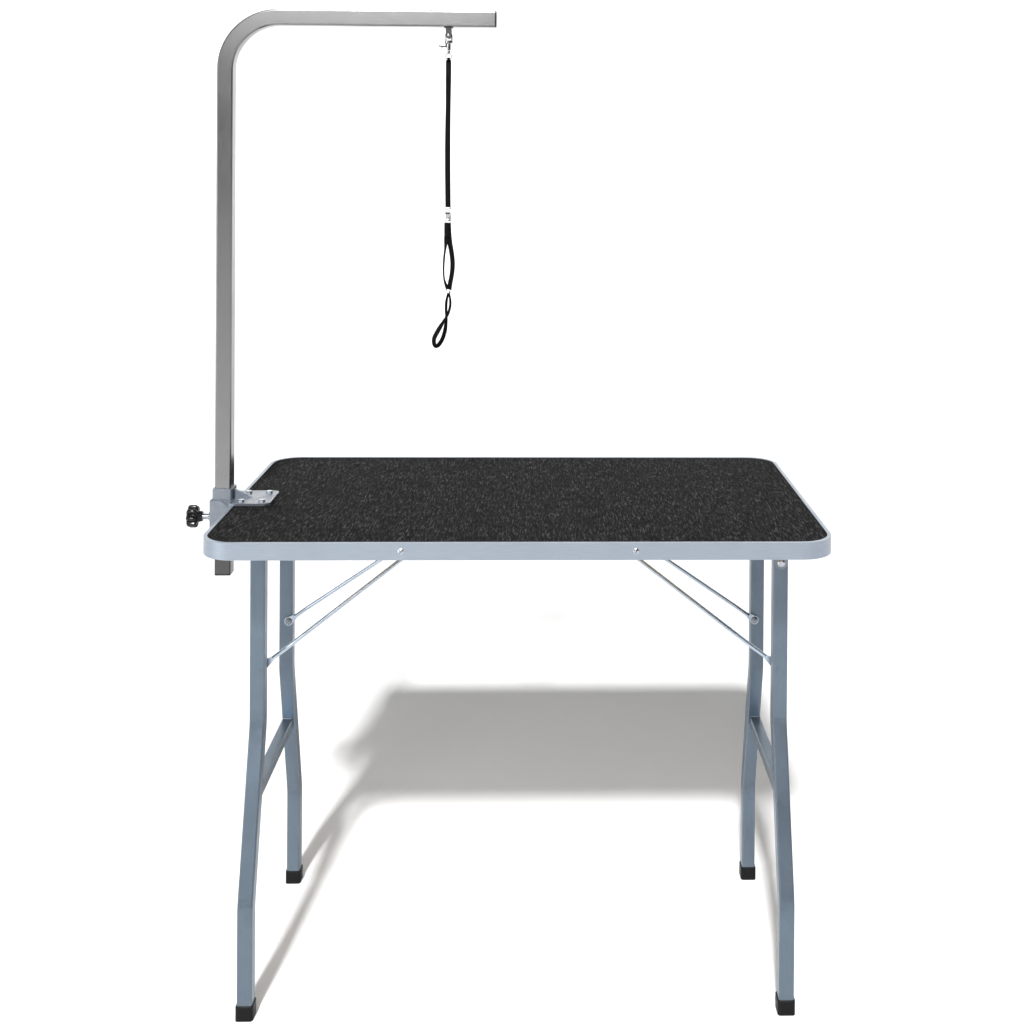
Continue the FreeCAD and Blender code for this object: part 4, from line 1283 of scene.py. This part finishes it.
    def nut(self) -> None:
        """The hexagon nut welded to the clamp's sleeve round the screw."""
        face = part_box("clamp_body")[0].x - self.nut_thick
        screw_low, screw_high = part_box("clamp_screw")
        centre = (screw_low + screw_high) / 2

        def spot(turn: float, far: float, grow: float, hexagon: bool) -> Vector:
            """A point of the nut's outline, round or six-sided."""
            corner = math.cos((turn + math.pi / 6) % (math.pi / 3) - math.pi / 6) if hexagon else 1.0
            reach = self.nut_flat / corner * grow
            return Vector((face + far, centre.y + reach * math.cos(turn), centre.z + reach * math.sin(turn)))

        rings = [around(36, lambda turn: spot(turn, far, grow, hexagon)) for far, grow, hexagon in
                 ((0.0, 0.70, False), (0.0, 0.93, False), (self.nut_edge, 1.0, True), (self.nut_thick, 1.0, True))]
        add_mesh("clamp_nut", loft(rings), BOLT, "table", smooth=False)


@dataclass
class Knob:
    """The star knob: deep lobes round a dished face, with a hub behind.

    Attributes:
        lobes: number of lobes.
        dent: depth of the hollows, as a share of the radius.
        sides: points round each ring.
        stations: shares of the knob's depth and radius, and how strong the star is there.
    """

    lobes: int = 8
    dent: float = 0.34
    sides: int = 192
    stations: Stations = (
        (0.03, 0.10, 0.0), (0.03, 0.38, 0.0), (0.0, 0.46, 0.1), (0.0, 0.62, 0.35), (0.015, 0.78, 0.7),
        (0.05, 0.90, 0.9), (0.11, 0.97, 1.0), (0.19, 1.0, 1.0), (0.52, 1.0, 1.0), (0.60, 0.965, 1.0),
        (0.66, 0.88, 0.9), (0.70, 0.74, 0.6), (0.71, 0.60, 0.2), (0.73, 0.50, 0.0), (0.97, 0.44, 0.0),
        (1.0, 0.41, 0.0), (1.0, 0.26, 0.0))

    def build(self) -> None:
        """Loft the knob along its axis in place of the plain one."""
        low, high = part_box("clamp_knob")
        radius, deep, centre = (high.z - low.z) / 2, high.x - low.x, (low + high) / 2

        def spot(turn: float, far: float, grow: float, star: float) -> Vector:
            """A point of the knob's outline."""
            hollow = (0.5 - 0.5 * math.cos(self.lobes * turn)) ** 1.6
            reach = radius * grow * (1 - self.dent * star * hollow)
            return Vector((low.x + deep * far, centre.y + reach * math.cos(turn), centre.z + reach * math.sin(turn)))

        rings = [around(self.sides, lambda turn: spot(turn, *station)) for station in self.stations]
        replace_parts(add_mesh("knob_star", loft(rings), KNOB, "knob"), "clamp_knob")


@dataclass
class Bracket:
    """The dark folded bracket under the beam: a riveted plate with two round-ended cheeks and a cross bar.

    Attributes:
        half: half the cheeks' width.
        neck: the cheeks' width at the plate, as a share.
        plate: the plate's width, as a share of the cheeks'.
        sheet: thickness of the steel.
        bar: radius of the cross bar.
        beam: height of the beam's tube.
        proud: how far the rivet and the bar's ends stand out.
    """

    half: float = 0.0052
    neck: float = 0.86
    plate: float = 1.5
    sheet: float = 0.0015
    bar: float = 0.0016
    beam: float = 0.028
    proud: float = 0.001

    def build(self) -> None:
        """Make the bracket in place of the plain eye, with its bar and rivet."""
        low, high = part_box("noose_eye")
        middle = (low + high) / 2
        head = high.z - self.proud
        under = head - self.beam
        pivot = Vector((middle.x, middle.y, low.z + self.bar))
        outline = [(pivot.x + self.half * math.cos(turn), pivot.z + self.half * math.sin(turn))
                   for turn in (math.pi + math.pi * step / 18 for step in range(19))]
        outline += [(pivot.x + self.half * self.neck, under), (pivot.x - self.half * self.neck, under)]
        build = bmesh.new()
        for sign in (-1, 1):
            outer = pivot.y + sign * (high.y - low.y) / 2
            self.slab(build, outline, outer - sign * self.sheet, outer)
        left, right = pivot.x - self.half * self.plate, pivot.x + self.half * self.plate
        self.slab(build, [(left, under - self.sheet), (right, under - self.sheet), (right, under), (left, under)],
                  low.y - self.proud, high.y + self.proud)
        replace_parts(add_mesh("eye_bracket", build, DARK, "arm", smooth=False), "noose_eye")
        self.cross_bar(Vector((pivot.x, low.y, pivot.z)), high.y - low.y)
        rivet = [(0, 0.0042), (0.0005, 0.0040), (0.0009, 0.0026), (self.proud, 0.0008)]
        add_mesh("eye_rivet", turned(Vector((middle.x, middle.y, head)), Vector((0, 0, 1)), rivet), BOLT, "arm")

    def cross_bar(self, start: Vector, wide: float) -> None:
        """The bar between the cheeks, with a flat head at each end.

        Args:
            start: the middle of the near cheek's outer face.
            wide: distance between the outer faces.
        """
        cap, edge = 0.0012, 0.0004
        long, tip, rim = wide + 2 * cap, self.bar * 0.8, self.bar * 1.6
        stations = [(0, tip), (edge, rim), (cap, rim), (cap, self.bar), (long - cap, self.bar), (long - cap, rim),
                    (long - edge, rim), (long, tip)]
        add_mesh("eye_bar", turned(start - Vector((0, cap, 0)), Vector((0, 1, 0)), stations), BOLT, "arm")

    @staticmethod
    def slab(build: bmesh.types.BMesh, outline: Stops, near: float, far: float) -> None:
        """Add an upright plate to the geometry.

        Args:
            build: the geometry.
            outline: its corners in X and Z.
            near: the Y of one face.
            far: the Y of the other.
        """
        faces = [[build.verts.new((x, y, z)) for x, z in outline] for y in (near, far)]
        for corners in faces:
            build.faces.new(corners)
        strip(build, *faces)


@dataclass
class Trigger:
    """The snap hook's thumb lever, a flattened tongue that points left.

    Attributes:
        wide: half its widest width.
        thick: half its thickness.
        tongue: how far it reaches past the latch.
        above: its height above the latch's foot.
        stud: the stud's share of the latch's width.
        thinnest: least share of the full thickness.
        oval: how much thicker than that the middle is.
        stations: shares of its length and width, and its lift there.
    """

    wide: float = 0.0030
    thick: float = 0.0013
    tongue: float = 0.0050
    above: float = 0.0014
    stud: float = 0.28
    thinnest: float = 0.7
    oval: float = 1.5
    stations: Stations = (
        (0, 0.35, 0.0014), (0.06, 0.8, 0.0011), (0.2, 1.0, 0.0004), (0.45, 0.92, -0.0001), (0.7, 0.62, 0.0),
        (1, 0.55, 0.0))

    def build(self) -> None:
        """Loft the lever round the latch's stud."""
        low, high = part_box("snap_trigger")
        long = (high.x - low.x) * self.stud + 2 * self.tongue
        level, middle = low.z + self.above, (low.y + high.y) / 2

        def spot(turn: float, share: float, grow: float, lift: float) -> Vector:
            """A point of the lever's oval section."""
            return Vector((low.x - self.tongue + long * share, middle + self.wide * grow * math.cos(turn),
                           level + lift + self.thick * max(grow, self.thinnest) * self.oval * math.sin(turn)))

        rings = [around(20, lambda turn: spot(turn, *station)) for station in self.stations]
        add_mesh("trigger_lever", loft(rings), LEVER, "trigger")


# ---------------------------------------------------------------- studio


class Lamp(Enum):
    """The studio's lights: kind, place, aim, size, power and colour."""

    KEY = ("SUN", (-0.55, -4.2, 4.0), (0.0, 0.0, 0.0), math.radians(4), 4.8, (1.0, 1.0, 0.995))
    CARD = ("AREA", (-1.0, -5.0, 3.4), (-0.3, 0.0, 1.6), 2.2, 85.0, (1.0, 1.0, 1.0))
    SIDE = ("AREA", (-3.8, -2.6, 1.4), (-0.2, 0.0, 0.7), 2.0, 50.0, (1.0, 1.0, 1.0))


@dataclass
class Studio:
    """A white floor that curves up behind, soft lights and the camera.

    Attributes:
        eye: the camera's place.
        yaw: its turn to the left, in radians.
        pitch: its tilt down, in radians.
        roll: its turn about its own line of sight, in radians.
        focal: focal length in image widths.
        across: the line of sight's place from the image's left edge, in image widths.
        down: the line of sight's place from the image's top edge, in image widths.
        glow: brightness of the air.
        tint: colour of the air.
        reach: half the floor's width.
        front: its front edge.
        back: where it begins to curve up.
        curve: radius of the curve.
        tall: height of the wall.
    """

    eye: tuple[float, float, float] = (0.0823, -2.3143, 1.3852)
    yaw: float = -0.0279
    pitch: float = 0.0085
    roll: float = 0.0070
    focal: float = 1.2658
    across: float = 0.5702
    down: float = 0.1742
    glow: float = 0.062
    tint: Colour = (0.97, 0.98, 1.0)
    reach: float = 45.0
    front: float = -45.0
    back: float = 12.0
    curve: float = 6.0
    tall: float = 24.0

    def camera(self) -> None:
        """Make the camera level, with its view shifted down to the table."""
        data = bpy.data.cameras.new("camera")
        data.sensor_width = 36.0
        data.lens = self.focal * data.sensor_width
        data.shift_x = 0.5 - self.across
        data.shift_y = self.down - 0.5
        data.clip_end = 60.0
        ahead = Vector((-math.sin(self.yaw) * math.cos(self.pitch), math.cos(self.yaw) * math.cos(self.pitch),
                        -math.sin(self.pitch)))
        right = Vector((math.cos(self.yaw), math.sin(self.yaw), 0))
        up = right.cross(ahead)
        side = right * math.cos(self.roll) + up * math.sin(self.roll)
        top = up * math.cos(self.roll) - right * math.sin(self.roll)
        view = Matrix((side, top, -ahead)).transposed().to_4x4()
        view.translation = Vector(self.eye)
        camera = bpy.data.objects.new("camera", data)
        camera.matrix_world = view
        bpy.context.collection.objects.link(camera)
        bpy.context.scene.camera = camera

    def floor(self) -> None:
        """A pale sweep: flat floor, a wide curve and a wall behind."""
        outline = [(self.front, 0.0), (self.back, 0.0)]
        outline += [(self.back + self.curve * math.sin(turn), self.curve - self.curve * math.cos(turn))
                    for turn in (math.pi / 2 * step / 16 for step in range(1, 17))]
        outline.append((self.back + self.curve, self.tall))
        build = bmesh.new()
        rows = [[build.verts.new((x, y, z)) for x in (-self.reach, self.reach)] for y, z in outline]
        for low, high in zip(rows, rows[1:]):
            build.faces.new((low[0], low[1], high[1], high[0]))
        mesh = bpy.data.meshes.new("studio_floor")
        build.to_mesh(mesh)
        build.free()
        for polygon in mesh.polygons:
            polygon.use_smooth = True
        mesh.materials.append(PAPER.material())
        floor = bpy.data.objects.new("studio_floor", mesh)
        bpy.context.collection.objects.link(floor)

    def light(self, lamp: Lamp) -> None:
        """Hang one light, aimed at its point.

        Args:
            lamp: which light.
        """
        kind, spot, aim, size, power, colour = lamp.value
        data = bpy.data.lights.new(lamp.name.lower(), kind)
        if kind == "SUN":
            data.angle = size
        else:
            data.shape = "SQUARE"
            data.size = size
        data.energy = power
        data.color = colour
        holder = bpy.data.objects.new(data.name, data)
        holder.location = spot
        holder.rotation_euler = (Vector(aim) - Vector(spot)).to_track_quat("-Z", "Y").to_euler()
        bpy.context.collection.objects.link(holder)

    def air(self) -> None:
        """A dim even light from all round, with plain white seen beyond the floor."""
        world = bpy.data.worlds.new("studio_air")
        world.use_nodes = True
        tree = Tree(world.node_tree)
        dim = tree.node("ShaderNodeBackground", None, {0: (*self.tint, 1.0), 1: self.glow})
        paper = tree.node("ShaderNodeBackground", None, {0: (1.0, 1.0, 1.0, 1.0), 1: 1.0})
        ray = tree.node("ShaderNodeLightPath", output="Is Camera Ray")
        seen = tree.node("ShaderNodeMixShader", None, {0: ray, 1: dim, 2: paper})
        tree.links.new(seen.socket, tree.nodes["World Output"].inputs[0])
        bpy.context.scene.world = world
        bpy.context.scene.view_settings.view_transform = "Standard"


def main() -> None:
    """Build everything in order."""
    logging.basicConfig(level=logging.INFO, format="%(name)s: %(message)s")
    studio = Studio()
    studio.camera()
    dress_nodes()
    for part in (Noose(), Bracket(), Trigger(), Knob(), Welds(), Fasteners()):
        part.build()
        log.info("%s built", type(part).__name__)
    studio.floor()
    for lamp in Lamp:
        studio.light(lamp)
    studio.air()


if __name__ == "__main__":
    main()
